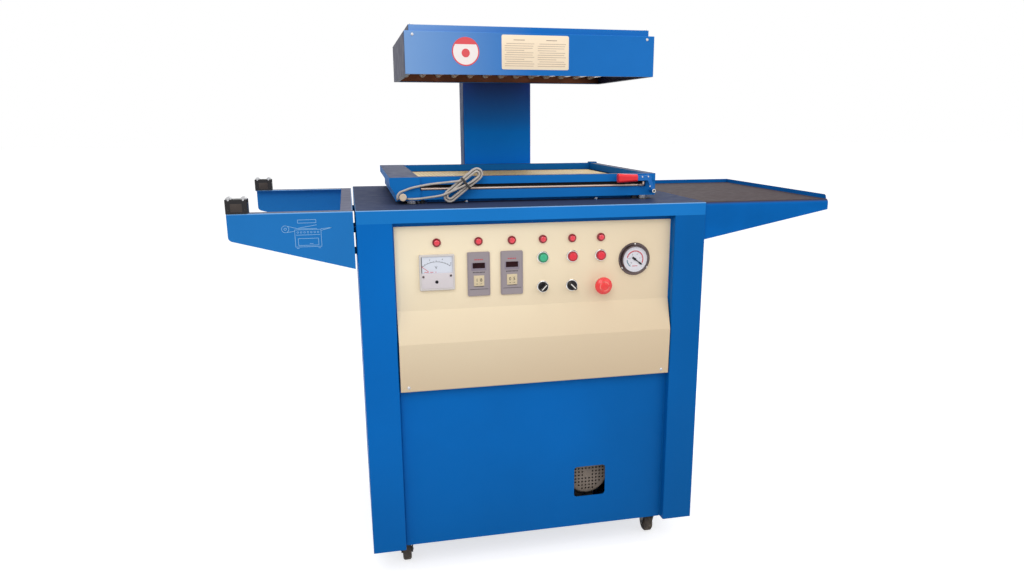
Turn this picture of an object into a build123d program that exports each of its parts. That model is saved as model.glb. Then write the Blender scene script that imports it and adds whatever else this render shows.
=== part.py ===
from build123d import *
import os
from math import asin, atan2, cos, degrees, hypot, radians, sin

os.makedirs("parts", exist_ok=True)

# Driving sizes in millimetres.
# X runs right from the cabinet's middle, Y back from its front face, Z up from the floor.

# Sheet metal
SHEET = 1.5
BEND = 3.0
EDGE_BREAK = 1.0
SHUT_GAP = 1.0
RUNNING_GAP = 0.05
SEAT_GAP = 0.3

# Cabinet
CABINET_W = 800.0
CABINET_D = 645.0
TABLE_Z = 885.0
BASE_Z = 80.0
LIP_H = 29.0
POST_W = 76.0
RECESS = 21.0
TAB_W = 20.0
REAR_FLANGE = 25.0
PAN_H = 30.0
RAIL_H = 30.0
RAIL_D = 18.0
TABLE_SHEET = 2.0

# Control panel, with drops measured down from the table top
CONTROL_TOP_DROP = 39.0
CONTROL_FOLD_DROP = 228.0
CONTROL_BULGE_DROP = 300.0
CONTROL_BOTTOM_DROP = 412.0
CONTROL_BULGE_Y = -3.0
CONTROL_FOOT_Y = 0.0
SPLIT_OVERLAP = 5.0

# Pump window in the lower front panel, with its sill above the cabinet's floor
WINDOW_X = 133.5
WINDOW_SILL = 78.5
WINDOW_SIZE = 80.0
WINDOW_R = 8.0

# Instruments, with their middles measured from the cabinet's middle and down from the table top
LAMP_XS = (-229.0, -136.0, -60.0, 12.0, 81.0, 150.0)
LAMP_DROP = 76.0
LAMP_R = 9.5
LAMP_RIM_H = 3.2
LAMP_LENS_R = 8.0
LAMP_PROUD = 7.0
LAMP_HOLE_R = 6.0
LAMP_BODY_L = 20.0
INSTRUMENT_R = 3.0
METER_X = -230.0
METER_DROP = 142.0
METER_W = 78.0
METER_H = 80.0
METER_PROUD = 8.0
METER_RIM = 4.0
METER_SINK = 3.0
METER_BODY_R = 29.0
METER_BODY_L = 42.0
TIMER_XS = (-136.5, -60.7)
TIMER_DROP = 150.0
TIMER_W = 51.0
TIMER_H = 100.0
TIMER_PROUD = 5.0
TIMER_BODY_W = 45.0
TIMER_BODY_H = 92.0
TIMER_BODY_L = 78.0
DISPLAY_W = 34.0
DISPLAY_H = 18.0
DISPLAY_RISE = 17.0
DISPLAY_SINK = 1.5
THUMBWHEEL_W = 22.0
THUMBWHEEL_H = 20.0
THUMBWHEEL_DROP = 19.0
THUMBWHEEL_SINK = 2.5
BUTTON_XS = (12.0, 82.0, 150.0)
BUTTON_DROP = 118.0
SELECTOR_XS = (12.0, 81.0)
SELECTOR_TURNS = (45.0, 135.0)
SELECTOR_DROP = 186.0
ESTOP_X = 152.0
ESTOP_DROP = 187.0
ESTOP_R = 20.0
ESTOP_PROUD = 32.0
ESTOP_HEAD_H = 14.0
ESTOP_RIM_H = 6.0
ESTOP_EDGE = 2.0
BEZEL_R = 14.0
BEZEL_PROUD = 5.0
BARREL_R = 11.0
BARREL_L = 34.0
BARREL_WALL = 2.0
BARREL_END = 4.0
STEM_R = 7.5
STEM_CLEARANCE = 6.0
CAP_R = 11.4
CAP_PROUD = 9.0
KNOB_BAR_W = 8.0
KNOB_BAR_H = 9.0
KNOB_BAR_R = 3.5
BUTTON_STROKE = 3.5
GAUGE_X = 233.0
GAUGE_DROP = 130.6
GAUGE_FLANGE_R = 38.5
GAUGE_RIM_R = 33.0
GAUGE_DIAL_R = 30.0
GAUGE_PROUD = 11.0
GAUGE_SINK = 5.0
GAUGE_FLANGE_T = 2.5
GAUGE_BODY_L = 28.0

# Pump behind the window, with its axis above the cabinet's floor
PUMP_X = 135.0
PUMP_H = 128.0
PUMP_R = 54.0
PUMP_L = 210.0
PUMP_FOOT_W = 70.0
PUMP_FOOT_INSET = 30.0
FAN_COVER_Y = 45.0
FAN_COVER_L = 34.0
FAN_COVER_R = 6.0
FAN_HOLE_R = 2.5
FAN_HOLE_PITCH = 9.0
FAN_HOLES_REACH = 44.0
FAN_BOSS_R = 11.0

# Vacuum platform on the table, with its gaps to the film frame round it
PLATFORM_GAP_LEFT = 15.0
PLATFORM_GAP_RIGHT = 12.0
PLATFORM_GAP_Y = 16.0
PLATFORM_H = 43.0
PLATFORM_T = 3.0
PLATFORM_LEDGE = 4.0
VACUUM_WALL = 2.0
VACUUM_PORT_R = 30.0

# Film frame: two frames, one above the other, with heights above the table top
FRAME_LEFT_EDGE = 79.0
FRAME_RIGHT_EDGE = 82.0
FRAME_Y0 = 114.0
FRAME_REAR_EDGE = 31.0
FRAME_BAR = 20.0
FRAME_LEFT_W = 66.0
FRAME_RIGHT_W = 22.0
LOWER_FRAME_Z = 9.0
LOWER_FRAME_H = 21.0
UPPER_FRAME_Z = 43.0
UPPER_FRAME_H = 17.5
CORNER_R = 6.0
SEAL_W = 8.0
SEAL_INSET = 4.0
CORNER_TAB_W = 22.0
CORNER_TAB_H = 3.5

# Lift rods and their bushes
LIFT = 215.0
ROD_R = 11.5
ROD_INSET_LEFT = 50.0
ROD_INSET_RIGHT = 32.0
BUSH_FLANGE_R = 17.0
BUSH_FLANGE_H = 1.5
BUSH_R = 15.0
BUSH_L = 36.0
STOP_OFFSET = 22.0
STOP_R = 6.0
STOP_H = 8.0

# Hinge of the upper frame
HINGE_INSET = 28.0
HINGE_H = 16.6
HINGE_PIN_R = 5.0
HINGE_PIN_L = 30.0
EAR_T = 5.0
EAR_GAP = 3.0
EAR_FOOT_H = 8.0
EAR_SLOPE_W = 12.0
EAR_TOE_H = 15.0
HINGE_CAP_R = 8.5
HINGE_CAP_L = 10.0

# Steel rod lying on the lower frame, with a hooked end
CUTTER_ROD_R = 3.0
CUTTER_ROD_INSET_LEFT = 71.0
CUTTER_ROD_INSET_RIGHT = 45.0
CUTTER_HOOK_R = 9.0
CUTTER_HOOK_H = 9.0

# Latch plate, latch stud and feet on the lower frame
LATCH_INSET = 13.0
LATCH_H = 20.0
LATCH_R = 4.5
LATCH_L = 22.0
LATCH_PLATE_W = 27.0
LATCH_PLATE_T = 7.5
FOOT_INSET_LEFT = 175.0
FOOT_INSET_RIGHT = 149.0
FOOT_R = 4.0

# Clamp lever on the upper frame
LEVER_INSET = 25.0
LEVER_H = 51.0
LEVER_T = 4.0
LEVER_W = 12.0
LEVER_EYE_R = 7.0
LEVER_NOSE_W = 9.0
LEVER_STANDOFF = 18.0
LEVER_BOSS_R = 6.0
GRIP_REACH = 30.0
GRIP_L = 49.0
GRIP_H = 22.0
GRIP_T = 18.0
GRIP_R = 6.0
GRIP_TAPER = 5.0
GRIP_END_WALL = 6.0

# Column and heater, with heights above the table top
COLUMN_X = 26.5
COLUMN_W = 201.0
COLUMN_D = 78.0
COLUMN_T = 3.0
COLUMN_R = 5.0
COLUMN_FOOT_DROP = 400.0
HEATER_X = 24.5
HEATER_W = 595.0
HEATER_D = 427.0
HEATER_Z = 287.0
HEATER_H = 93.0
HEATER_RETURN = 12.0
LID_INSET = 11.0
LID_H = 14.0
ARM_L = 54.5
ARM_W = 160.0
ARM_H = 66.0
ARM_T = 3.0
REFLECTOR_H = 50.0
TUBE_COUNT = 13
TUBE_EDGE = 33.5
TUBE_R = 6.0
TUBE_CAP_R = 8.0
TUBE_CAP_L = 26.0
TUBE_H = 21.0

# Film roll holder on the left, hung on spacers beside the cabinet
ROLL_REACH = 257.0
ROLL_REAR_EDGE = 55.0
ROLL_GAP = 5.0
ROLL_SPACER_R = 8.0
ROLL_SPACER_INSET = 80.0
ROLL_SPACER_DROPS = (48.0, 96.0)
ROLL_ROOT_H = 124.0
ROLL_TIP_H = 55.0
ROLL_TIP_R = 10.0
ROLL_FLANGE_W = 25.0
ROLL_END_FLANGE_W = 26.0
ROLL_SHEET = 2.0
BLOCK_W = 44.0
BLOCK_H = 29.0
BLOCK_D = 28.0
BLOCK_OVERHANG = 1.0
ROLLER_R = 6.0
ROLLER_L = 18.0
ROLLER_PIN_R = 2.0
ROLLER_PROUD = 5.5
ROLLER_INSET = 7.5

# Tray on the right
TRAY_REACH = 322.0
TRAY_Y0 = 5.0
TRAY_REAR_EDGE = 101.0
TRAY_RIM_H = 10.0
TRAY_BEND = 10.0
TRAY_ROOT_H = 88.5
TRAY_TIP_H = 25.0
TRAY_END_FLANGE = 26.0

# Casters
CASTER_INSET = 82.0
CASTER_REAR_INSET = 85.0
WHEEL_R = 25.0
WHEEL_W = 20.0
WHEEL_HUB_R = 7.5
WHEEL_WEB_SINK = 2.0
TREAD_T = 7.0
TREAD_R = 3.0
CASTER_TRAIL = 16.0
FORK_T = 2.5
FORK_FRONT = 11.5
FORK_REAR = 17.0
FORK_EYE_R = 8.0
AXLE_NUT_L = 1.5
FORK_GAP = 2.0
AXLE_R = 3.0
KING_PIN_R = 5.0
CASTER_PLATE_W = 60.0
CASTER_PLATE_T = 3.0
CASTER_BOSS_R = 16.0
FORK_TOP_Z = 69.7
FORK_TOP_T = 3.2
FORK_TOP_R = 19.0

# Free cord on the front of the film frame, with heights above the table top
CORD_R = 2.5
CORD_UPPER_ROUTE = (
    (-305.0, 106.0, 12.0),
    (-305.0, 98.5, 12.0),
    (-305.6, 97.5, 21.0),
    (-299.0, 97.5, 29.0),
    (-288.0, 97.5, 32.5),
    (-276.0, 98.0, 37.0),
    (-254.0, 98.5, 41.5),
    (-228.0, 98.5, 45.6),
    (-199.0, 98.0, 48.3),
    (-171.0, 97.5, 50.0),
)
CORD_LOWER_ROUTE = (
    (-281.0, 106.0, 12.5),
    (-281.0, 98.5, 12.5),
    (-272.0, 97.0, 12.9),
    (-256.0, 96.5, 13.2),
    (-236.0, 96.0, 15.6),
    (-215.0, 96.0, 18.6),
)
HANK_LOW = (-202.0, 94.0, 7.0)
HANK_HIGH = (-112.5, 94.0, 77.5)
HANK_W = 30.0
HANK_T = 15.0

# Places worked out from the sizes above
HALF_W = CABINET_W / 2
POST_INNER = HALF_W - POST_W
PANEL_BACK = RECESS + SHEET
LIP_Z = TABLE_Z - LIP_H
BACK_FACE = CABINET_D + SHEET
PANEL_X = POST_INNER - BEND
WINDOW_Z = BASE_Z + WINDOW_SILL + WINDOW_SIZE / 2
PUMP_Z = BASE_Z + PUMP_H
STEM_L = BARREL_L - BARREL_END - STEM_CLEARANCE
FRAME_X0 = -HALF_W + FRAME_LEFT_EDGE
FRAME_X1 = HALF_W - FRAME_RIGHT_EDGE
FRAME_Y1 = CABINET_D - FRAME_REAR_EDGE
FRAME_SIDES = ((FRAME_Y0, 1), (FRAME_Y1, -1))
PLATFORM_X0 = FRAME_X0 + FRAME_LEFT_W + PLATFORM_GAP_LEFT
PLATFORM_X1 = FRAME_X1 - FRAME_RIGHT_W - PLATFORM_GAP_RIGHT
PLATFORM_Y0 = FRAME_Y0 + FRAME_BAR + PLATFORM_GAP_Y
PLATFORM_Y1 = FRAME_Y1 - FRAME_BAR - PLATFORM_GAP_Y
ROD_XS = (FRAME_X0 + ROD_INSET_LEFT, FRAME_X1 - ROD_INSET_RIGHT)
ROD_YS = (FRAME_Y0 + FRAME_BAR / 2, FRAME_Y1 - FRAME_BAR / 2)
ROD_PLACES = [(x, y) for x in ROD_XS for y in ROD_YS]
FOOT_XS = (FRAME_X0 + FOOT_INSET_LEFT, FRAME_X1 - FOOT_INSET_RIGHT)
HINGE_X = FRAME_X0 + HINGE_INSET
CUTTER_ROD_X0 = FRAME_X0 + CUTTER_ROD_INSET_LEFT
CUTTER_ROD_X1 = FRAME_X1 - CUTTER_ROD_INSET_RIGHT
LATCH_X = FRAME_X1 - LATCH_INSET
LEVER_X = FRAME_X1 - LEVER_INSET
GRIP_X1 = LEVER_X - GRIP_REACH
GRIP_X0 = GRIP_X1 - GRIP_L
HEATER_Y1 = BACK_FACE - ARM_L
HEATER_Y0 = HEATER_Y1 - HEATER_D
TUBE_PITCH = (HEATER_W - 2 * TUBE_EDGE) / (TUBE_COUNT - 1)
ROLL_SPAN = CABINET_D - ROLL_REAR_EDGE
ROLL_X0 = -HALF_W - ROLL_REACH
ROLL_X1 = -HALF_W - ROLL_GAP
BLOCK_X0 = ROLL_X0 - BLOCK_OVERHANG
TRAY_Y1 = CABINET_D - TRAY_REAR_EDGE
CASTER_X = HALF_W - CASTER_INSET
ROLLER_XS = (BLOCK_X0 + ROLLER_INSET, BLOCK_X0 + BLOCK_W - ROLLER_INSET)
BLOCK_YS = (BLOCK_D / 2, ROLL_SPAN - BLOCK_D / 2)
ROLLER_Z = TABLE_Z + BLOCK_H + ROLLER_PROUD - ROLLER_R
CASTER_PLACES = {
    "front_left": (-CASTER_X, CASTER_INSET),
    "front_right": (CASTER_X, CASTER_INSET),
    "rear_left": (-CASTER_X, CABINET_D - CASTER_REAR_INSET),
    "rear_right": (CASTER_X, CABINET_D - CASTER_REAR_INSET),
}

# The part's own frame has its origin on the floor, under the middle of its box
LEFT_END = BLOCK_X0
RIGHT_END = HALF_W + TRAY_REACH
FRONT_END = RECESS - ESTOP_PROUD
REAR_END = BACK_FACE + COLUMN_D
TO_ORIGIN = Pos(-(LEFT_END + RIGHT_END) / 2, -(FRONT_END + REAR_END) / 2, 0)


def block(x0, x1, y0, y1, z0, z1):
    """A box between two corners."""
    return Pos((x0 + x1) / 2, (y0 + y1) / 2, (z0 + z1) / 2) * Box(x1 - x0, y1 - y0, z1 - z0)


def bar_y(x, z, radius, y0, y1):
    """A round bar or bore along Y."""
    return Pos(x, (y0 + y1) / 2, z) * Rot(90, 0, 0) * Cylinder(radius, y1 - y0)


def bar_z(x, y, radius, z0, z1):
    """A round bar or bore along Z."""
    return Pos(x, y, (z0 + z1) / 2) * Cylinder(radius, z1 - z0)


def along_y(sketch, y0, y1):
    """A sketch drawn in X and Z, made solid from y0 to y1."""
    return extrude(Plane.XZ.offset(-y0) * sketch, y1 - y0, dir=(0, 1, 0))


def group(solids):
    """Like pieces that share a node without touching."""
    return Compound(solids)


def dome(radius, rim_y, top_y):
    """The arc of a dome, from its rim to its top on the axis."""
    rise = rim_y - top_y
    sphere_r = (radius**2 + rise**2) / (2 * rise)
    half = asin(radius / sphere_r) / 2
    middle = (sphere_r * sin(half), top_y + sphere_r * (1 - cos(half)))
    return ThreePointArc((radius, rim_y), middle, (0, top_y))


def turned_y(points, x, y, z):
    """A turned piece about a line along Y; each point is a radius and a distance behind y."""
    section = make_face(Polyline(*points, close=True))
    return Pos(x, y, z) * revolve(section, Axis.Y)


def bent_sheet(outline, thickness, plane, length, radius=BEND):
    """A folded sheet whose outer face follows the outline, with its metal on the right hand."""
    path = FilletPolyline(*outline, radius=radius)
    return extrude(plane * make_face(offset(path, thickness, side=Side.RIGHT)), length, dir=plane.z_dir)


def pan(x0, x1, y0, y1, z0, z1, wall, deck, open_top):
    """A shallow pan with one flat deck and four walls."""
    body = fillet(block(x0, x1, y0, y1, z0, z1).edges().filter_by(Axis.Z), BEND)
    low, high = (z0 + deck, z1) if open_top else (z0, z1 - deck)
    hollow = block(x0 + wall, x1 - wall, y0 + wall, y1 - wall, low, high)
    return body - fillet(hollow.edges().filter_by(Axis.Z), BEND - wall / 2)


# Cabinet

def side_panel():
    """The left side, folded round the front to make the post and the tab behind the panels."""
    outline = (
        (-(POST_INNER - TAB_W), PANEL_BACK),
        (-POST_INNER, PANEL_BACK),
        (-POST_INNER, 0),
        (-HALF_W, 0),
        (-HALF_W, CABINET_D),
        (-(HALF_W - REAR_FLANGE), CABINET_D),
    )
    return bent_sheet(outline, SHEET, Plane.XY.offset(BASE_Z), LIP_Z - BASE_Z)


def back_panel():
    """A flat sheet over the rear flanges."""
    inset = BEND
    return block(-HALF_W + inset, HALF_W - inset, CABINET_D, BACK_FACE, BASE_Z, LIP_Z)


def base_pan():
    """The floor of the cabinet, with walls turned up."""
    x = HALF_W - SHEET
    return pan(-x, x, PANEL_BACK + SHEET, CABINET_D - SHEET, BASE_Z, BASE_Z + PAN_H, SHEET, SHEET, True)


def front_rail():
    """A channel between the posts that carries the control panel's top."""
    outline = (
        (PANEL_BACK + RAIL_D, LIP_Z - RAIL_H),
        (PANEL_BACK, LIP_Z - RAIL_H),
        (PANEL_BACK, LIP_Z),
        (PANEL_BACK + RAIL_D, LIP_Z),
    )
    half = POST_INNER - TAB_W
    return bent_sheet(outline, SHEET, Plane.YZ.offset(-half), 2 * half)


def lower_front_panel():
    """The recessed front sheet below the control panel, with the pump window."""
    top = TABLE_Z - CONTROL_BOTTOM_DROP + SPLIT_OVERLAP
    sheet = block(-PANEL_X, PANEL_X, RECESS, PANEL_BACK, BASE_Z, top)
    window = Pos(WINDOW_X, WINDOW_Z) * RectangleRounded(WINDOW_SIZE, WINDOW_SIZE, WINDOW_R)
    return sheet - along_y(window, 0, 2 * RECESS)


def control_panel():
    """The folded panel that swells forward below its instruments."""
    foot = TABLE_Z - CONTROL_BOTTOM_DROP
    outline = (
        (RECESS - SHUT_GAP, foot),
        (CONTROL_FOOT_Y, foot),
        (CONTROL_BULGE_Y, TABLE_Z - CONTROL_BULGE_DROP),
        (RECESS, TABLE_Z - CONTROL_FOLD_DROP),
        (RECESS, TABLE_Z - CONTROL_TOP_DROP),
    )
    panel = bent_sheet(outline, SHEET, Plane.YZ.offset(-PANEL_X), 2 * PANEL_X)
    holes = [(x, LAMP_DROP, LAMP_HOLE_R) for x in LAMP_XS]
    holes += [(x, BUTTON_DROP, BARREL_R) for x in BUTTON_XS]
    holes += [(x, SELECTOR_DROP, BARREL_R) for x in SELECTOR_XS]
    holes += [(ESTOP_X, ESTOP_DROP, BARREL_R), (METER_X, METER_DROP, METER_BODY_R)]
    holes += [(GAUGE_X, GAUGE_DROP, GAUGE_DIAL_R)]
    for x, drop, radius in holes:
        panel -= bar_y(x, TABLE_Z - drop, radius + SEAT_GAP, 0, 2 * RECESS)
    for x in TIMER_XS:
        slot = Pos(x, TABLE_Z - TIMER_DROP) * Rectangle(TIMER_BODY_W + SEAT_GAP, TIMER_BODY_H + SEAT_GAP)
        panel -= along_y(slot, 0, 2 * RECESS)
    return panel


def table_top():
    """The table's cover, a pan turned over, with holes for the bushes and the vacuum port."""
    top = pan(-HALF_W, HALF_W, 0, CABINET_D, LIP_Z, TABLE_Z, SHEET, TABLE_SHEET, False)
    top = fillet(top.faces().sort_by(Axis.Z)[-1].outer_wire().edges(), SHEET)
    for x, y in ROD_PLACES:
        top -= bar_z(x, y, BUSH_R + SEAT_GAP, LIP_Z, TABLE_Z)
    return top - bar_z(*platform_middle(), VACUUM_PORT_R, LIP_Z, TABLE_Z)


# Vacuum platform

def platform_middle():
    """The platform's middle, in X and Y."""
    return (PLATFORM_X0 + PLATFORM_X1) / 2, (PLATFORM_Y0 + PLATFORM_Y1) / 2


def vacuum_box():
    """The shallow box that spreads the suction under the platform."""
    edge = PLATFORM_LEDGE
    box = pan(PLATFORM_X0 + edge, PLATFORM_X1 - edge, PLATFORM_Y0 + edge, PLATFORM_Y1 - edge,
              TABLE_Z, TABLE_Z + PLATFORM_H - PLATFORM_T, VACUUM_WALL, VACUUM_WALL, True)
    return box - bar_z(*platform_middle(), VACUUM_PORT_R, TABLE_Z, TABLE_Z + VACUUM_WALL)


def platform_plate():
    """The plate on which goods and film are drawn down."""
    top = TABLE_Z + PLATFORM_H
    plate = block(PLATFORM_X0, PLATFORM_X1, PLATFORM_Y0, PLATFORM_Y1, top - PLATFORM_T, top)
    return fillet(plate.edges().filter_by(Axis.Z), BEND)


def guide_bushes():
    """Flanged bushes in which the lift rods slide, each with a stop beside it for the frame to come down on."""
    bushes = []
    for x, y in ROD_PLACES:
        stop_x = x + STOP_OFFSET if x < 0 else x - STOP_OFFSET
        bush = bar_z(x, y, BUSH_R, TABLE_Z - BUSH_L, TABLE_Z)
        bush += bar_z(x, y, BUSH_FLANGE_R, TABLE_Z, TABLE_Z + BUSH_FLANGE_H)
        bush += bar_z(stop_x, y, STOP_R, TABLE_Z, TABLE_Z + STOP_H)
        bore = bar_z(x, y, ROD_R + RUNNING_GAP, TABLE_Z - BUSH_L, TABLE_Z + BUSH_FLANGE_H)
        bushes.append(bush - bore)
    return group(bushes)


# Column and heater

def column():
    """The square tube behind the cabinet that carries the heater."""
    x0, x1 = COLUMN_X - COLUMN_W / 2, COLUMN_X + COLUMN_W / 2
    z0, z1 = TABLE_Z - COLUMN_FOOT_DROP, TABLE_Z + HEATER_Z + HEATER_H
    outer = fillet(block(x0, x1, BACK_FACE, REAR_END, z0, z1).edges().filter_by(Axis.Z), COLUMN_R)
    t = COLUMN_T
    return outer - block(x0 + t, x1 - t, BACK_FACE + t, REAR_END - t, z0, z1 - t)


def heater_arm():
    """The short tube from the column to the heater's back."""
    middle = TABLE_Z + HEATER_Z + HEATER_H / 2
    section = Pos(COLUMN_X, middle) * (Rectangle(ARM_W, ARM_H) - Rectangle(ARM_W - 2 * ARM_T, ARM_H - 2 * ARM_T))
    return along_y(section, HEATER_Y1, BACK_FACE)


def heater_limits():
    """The heater housing's two corners in X."""
    return HEATER_X - HEATER_W / 2, HEATER_X + HEATER_W / 2


def heater_housing():
    """The heater's box, open below, with its lower edge turned in."""
    x0, x1 = heater_limits()
    z0, z1 = TABLE_Z + HEATER_Z, TABLE_Z + HEATER_Z + HEATER_H
    shell = fillet(block(x0, x1, HEATER_Y0, HEATER_Y1, z0, z1).edges().filter_by(Axis.Z), BEND)
    shell = fillet(shell.faces().sort_by(Axis.Z)[-1].outer_wire().edges(), SHEET)
    t = SHEET
    shell -= block(x0 + t, x1 - t, HEATER_Y0 + t, HEATER_Y1 - t, z0 + t, z1 - t)
    r = HEATER_RETURN
    return shell - block(x0 + r, x1 - r, HEATER_Y0 + r, HEATER_Y1 - r, z0, z0 + t)


def heater_lid():
    """The raised cover on the housing."""
    x0, x1 = heater_limits()
    z0 = TABLE_Z + HEATER_Z + HEATER_H
    i = LID_INSET
    return pan(x0 + i, x1 - i, HEATER_Y0 + i, HEATER_Y1 - i, z0, z0 + LID_H, SHEET, SHEET, False)


def tube_places():
    """The heating tubes' places in X."""
    first = HEATER_X - TUBE_PITCH * (TUBE_COUNT - 1) / 2
    return [first + TUBE_PITCH * i for i in range(TUBE_COUNT)]


def heater_reflector():
    """The folded mirror over the tubes; its front and rear flanges hold their ends."""
    x0, x1 = heater_limits()
    inset = HEATER_RETURN - TUBE_R
    foot = TABLE_Z + HEATER_Z + SHEET
    y0, y1 = HEATER_Y0 + inset, HEATER_Y1 - inset
    outline = ((y0, foot), (y0, foot + REFLECTOR_H), (y1, foot + REFLECTOR_H), (y1, foot))
    mirror_sheet = bent_sheet(outline, SHEET, Plane.YZ.offset(x0 + inset), x1 - x0 - 2 * inset)
    for x in tube_places():
        mirror_sheet -= bar_y(x, TABLE_Z + HEATER_Z + TUBE_H, TUBE_CAP_R + SEAT_GAP, HEATER_Y0, HEATER_Y1)
    return mirror_sheet


def heater_tubes():
    """Quartz heating tubes with a ceramic cap at each end."""
    z = TABLE_Z + HEATER_Z + TUBE_H
    y0, y1 = HEATER_Y0 + SHEET + SEAT_GAP, HEATER_Y1 - SHEET - SEAT_GAP
    tubes = []
    for x in tube_places():
        tube = bar_y(x, z, TUBE_R, y0 + TUBE_CAP_L, y1 - TUBE_CAP_L)
        tube += bar_y(x, z, TUBE_CAP_R, y0, y0 + TUBE_CAP_L)
        tubes.append(tube + bar_y(x, z, TUBE_CAP_R, y1 - TUBE_CAP_L, y1))
    return group(tubes)


# Film roll plates and tray

def roll_plate():
    """The front plate that carries a film roll, with a flange along its top."""
    outline = (
        (0, TABLE_Z - ROLL_ROOT_H),
        (0, TABLE_Z),
        (ROLL_FLANGE_W, TABLE_Z),
    )
    plate = bent_sheet(outline, ROLL_SHEET, Plane.YZ.offset(ROLL_X0), ROLL_X1 - ROLL_X0)
    shape = make_face(Polyline(
        (ROLL_X1, TABLE_Z - ROLL_ROOT_H),
        (ROLL_X1, TABLE_Z),
        (ROLL_X0, TABLE_Z),
        (ROLL_X0, TABLE_Z - ROLL_TIP_H),
        close=True,
    ))
    shape = fillet(shape.vertices().sort_by(Axis.X)[:2].sort_by(Axis.Y)[0], ROLL_TIP_R)
    return plate & along_y(shape, 0, ROLL_FLANGE_W)


def roll_plate_end():
    """The plate along the cabinet that joins the roll plates, with its own top flange and four spacers."""
    t = ROLL_SHEET
    x0, x1 = ROLL_X1 - ROLL_END_FLANGE_W, ROLL_X1
    outline = (
        (x0, TABLE_Z),
        (x1, TABLE_Z),
        (x1, TABLE_Z - ROLL_ROOT_H),
    )
    plate = bent_sheet(outline, t, Plane.XZ.offset(t - ROLL_SPAN), ROLL_SPAN - 2 * t)
    for y0, y1 in ((t, ROLL_FLANGE_W), (ROLL_SPAN - ROLL_FLANGE_W, ROLL_SPAN - t)):
        plate -= block(x0, x1, y0, y1, TABLE_Z - BEND, TABLE_Z)
    for y in (ROLL_SPACER_INSET, ROLL_SPAN - ROLL_SPACER_INSET):
        for drop in ROLL_SPACER_DROPS:
            plate += Pos((x1 - HALF_W) / 2, y, TABLE_Z - drop) * Rot(0, 90, 0) * Cylinder(ROLL_SPACER_R, ROLL_GAP)
    return plate


def roller_blocks():
    """The two black blocks at the plates' outer ends, each with pockets for a pair of rollers."""
    blocks = []
    x0 = BLOCK_X0
    for y in BLOCK_YS:
        body = block(x0, x0 + BLOCK_W, y - BLOCK_D / 2, y + BLOCK_D / 2, TABLE_Z, TABLE_Z + BLOCK_H)
        body = fillet(body.edges().filter_by(Axis.Z), BEND)
        for x in ROLLER_XS:
            pocket_r = ROLLER_R + SHUT_GAP
            half = ROLLER_L / 2 + SEAT_GAP
            pocket = bar_y(x, ROLLER_Z, pocket_r, y - half, y + half)
            reach = ROLLER_INSET + SHUT_GAP
            side = -1 if x < x0 + BLOCK_W / 2 else 1
            edge = x + side * reach
            pocket += block(min(x, edge), max(x, edge), y - half, y + half,
                            ROLLER_Z - pocket_r, TABLE_Z + BLOCK_H)
            pocket += block(x - pocket_r, x + pocket_r, y - half, y + half, ROLLER_Z, TABLE_Z + BLOCK_H)
            body -= pocket
            body -= bar_y(x, ROLLER_Z, ROLLER_PIN_R + RUNNING_GAP, y - BLOCK_D / 2, y + BLOCK_D / 2)
        blocks.append(body)
    return group(blocks)


def film_roller(x, y):
    """One small roller with its pin, in a block's pocket."""
    roller = bar_y(x, ROLLER_Z, ROLLER_R, y - ROLLER_L / 2, y + ROLLER_L / 2)
    return roller + bar_y(x, ROLLER_Z, ROLLER_PIN_R, y - BLOCK_D / 2, y + BLOCK_D / 2)


def tray_pan():
    """The tray: floor, rounded front edge with its tapered skirt, rims at the back and the far end."""
    x0, x1 = HALF_W, HALF_W + TRAY_REACH
    t = SHEET
    outline = (
        (TRAY_Y0, TABLE_Z - TRAY_ROOT_H),
        (TRAY_Y0, TABLE_Z),
        (TRAY_Y1 - TRAY_BEND, TABLE_Z),
    )
    sheet = bent_sheet(outline, t, Plane.YZ.offset(x0), x1 - x0, TRAY_BEND)
    sheet += block(x0, x1, TRAY_Y1 - TRAY_BEND, TRAY_Y1, TABLE_Z - t, TABLE_Z)
    shape = make_face(Polyline(
        (x0, TABLE_Z - TRAY_ROOT_H),
        (x0, TABLE_Z),
        (x1, TABLE_Z),
        (x1, TABLE_Z - TRAY_TIP_H),
        close=True,
    ))
    sheet &= along_y(shape, 0, TRAY_Y1)
    sheet += block(x0, x1, TRAY_Y1 - t, TRAY_Y1, TABLE_Z - t, TABLE_Z + TRAY_RIM_H)
    rim = block(x1 - t, x1, TRAY_Y0 + TRAY_BEND, TRAY_Y1, TABLE_Z - t, TABLE_Z + TRAY_RIM_H)
    front_top = rim.edges().filter_by(Axis.X).sort_by(Axis.Z)[-2:].sort_by(Axis.Y)[0]
    sheet += fillet(front_top, TRAY_RIM_H - t)
    sheet += block(x0, x0 + t, TRAY_Y0 + TRAY_BEND, TRAY_Y1 - t, TABLE_Z - TRAY_END_FLANGE, TABLE_Z - t)
    return sheet + along_y(shape, TRAY_Y1 - t, TRAY_Y1)


# Instruments

def voltmeter():
    """A square panel meter with a sunk dial and a round body."""
    z = TABLE_Z - METER_DROP
    y0 = RECESS - METER_PROUD
    rim = along_y(Pos(METER_X, z) * RectangleRounded(METER_W, METER_H, INSTRUMENT_R), y0, RECESS)
    rim = chamfer(rim.faces().sort_by(Axis.Y)[0].edges(), EDGE_BREAK)
    dial = RectangleRounded(METER_W - 2 * METER_RIM, METER_H - 2 * METER_RIM, INSTRUMENT_R - EDGE_BREAK)
    rim -= along_y(Pos(METER_X, z) * dial, y0, y0 + METER_SINK)
    return rim + bar_y(METER_X, z, METER_BODY_R, RECESS, RECESS + METER_BODY_L)


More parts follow.
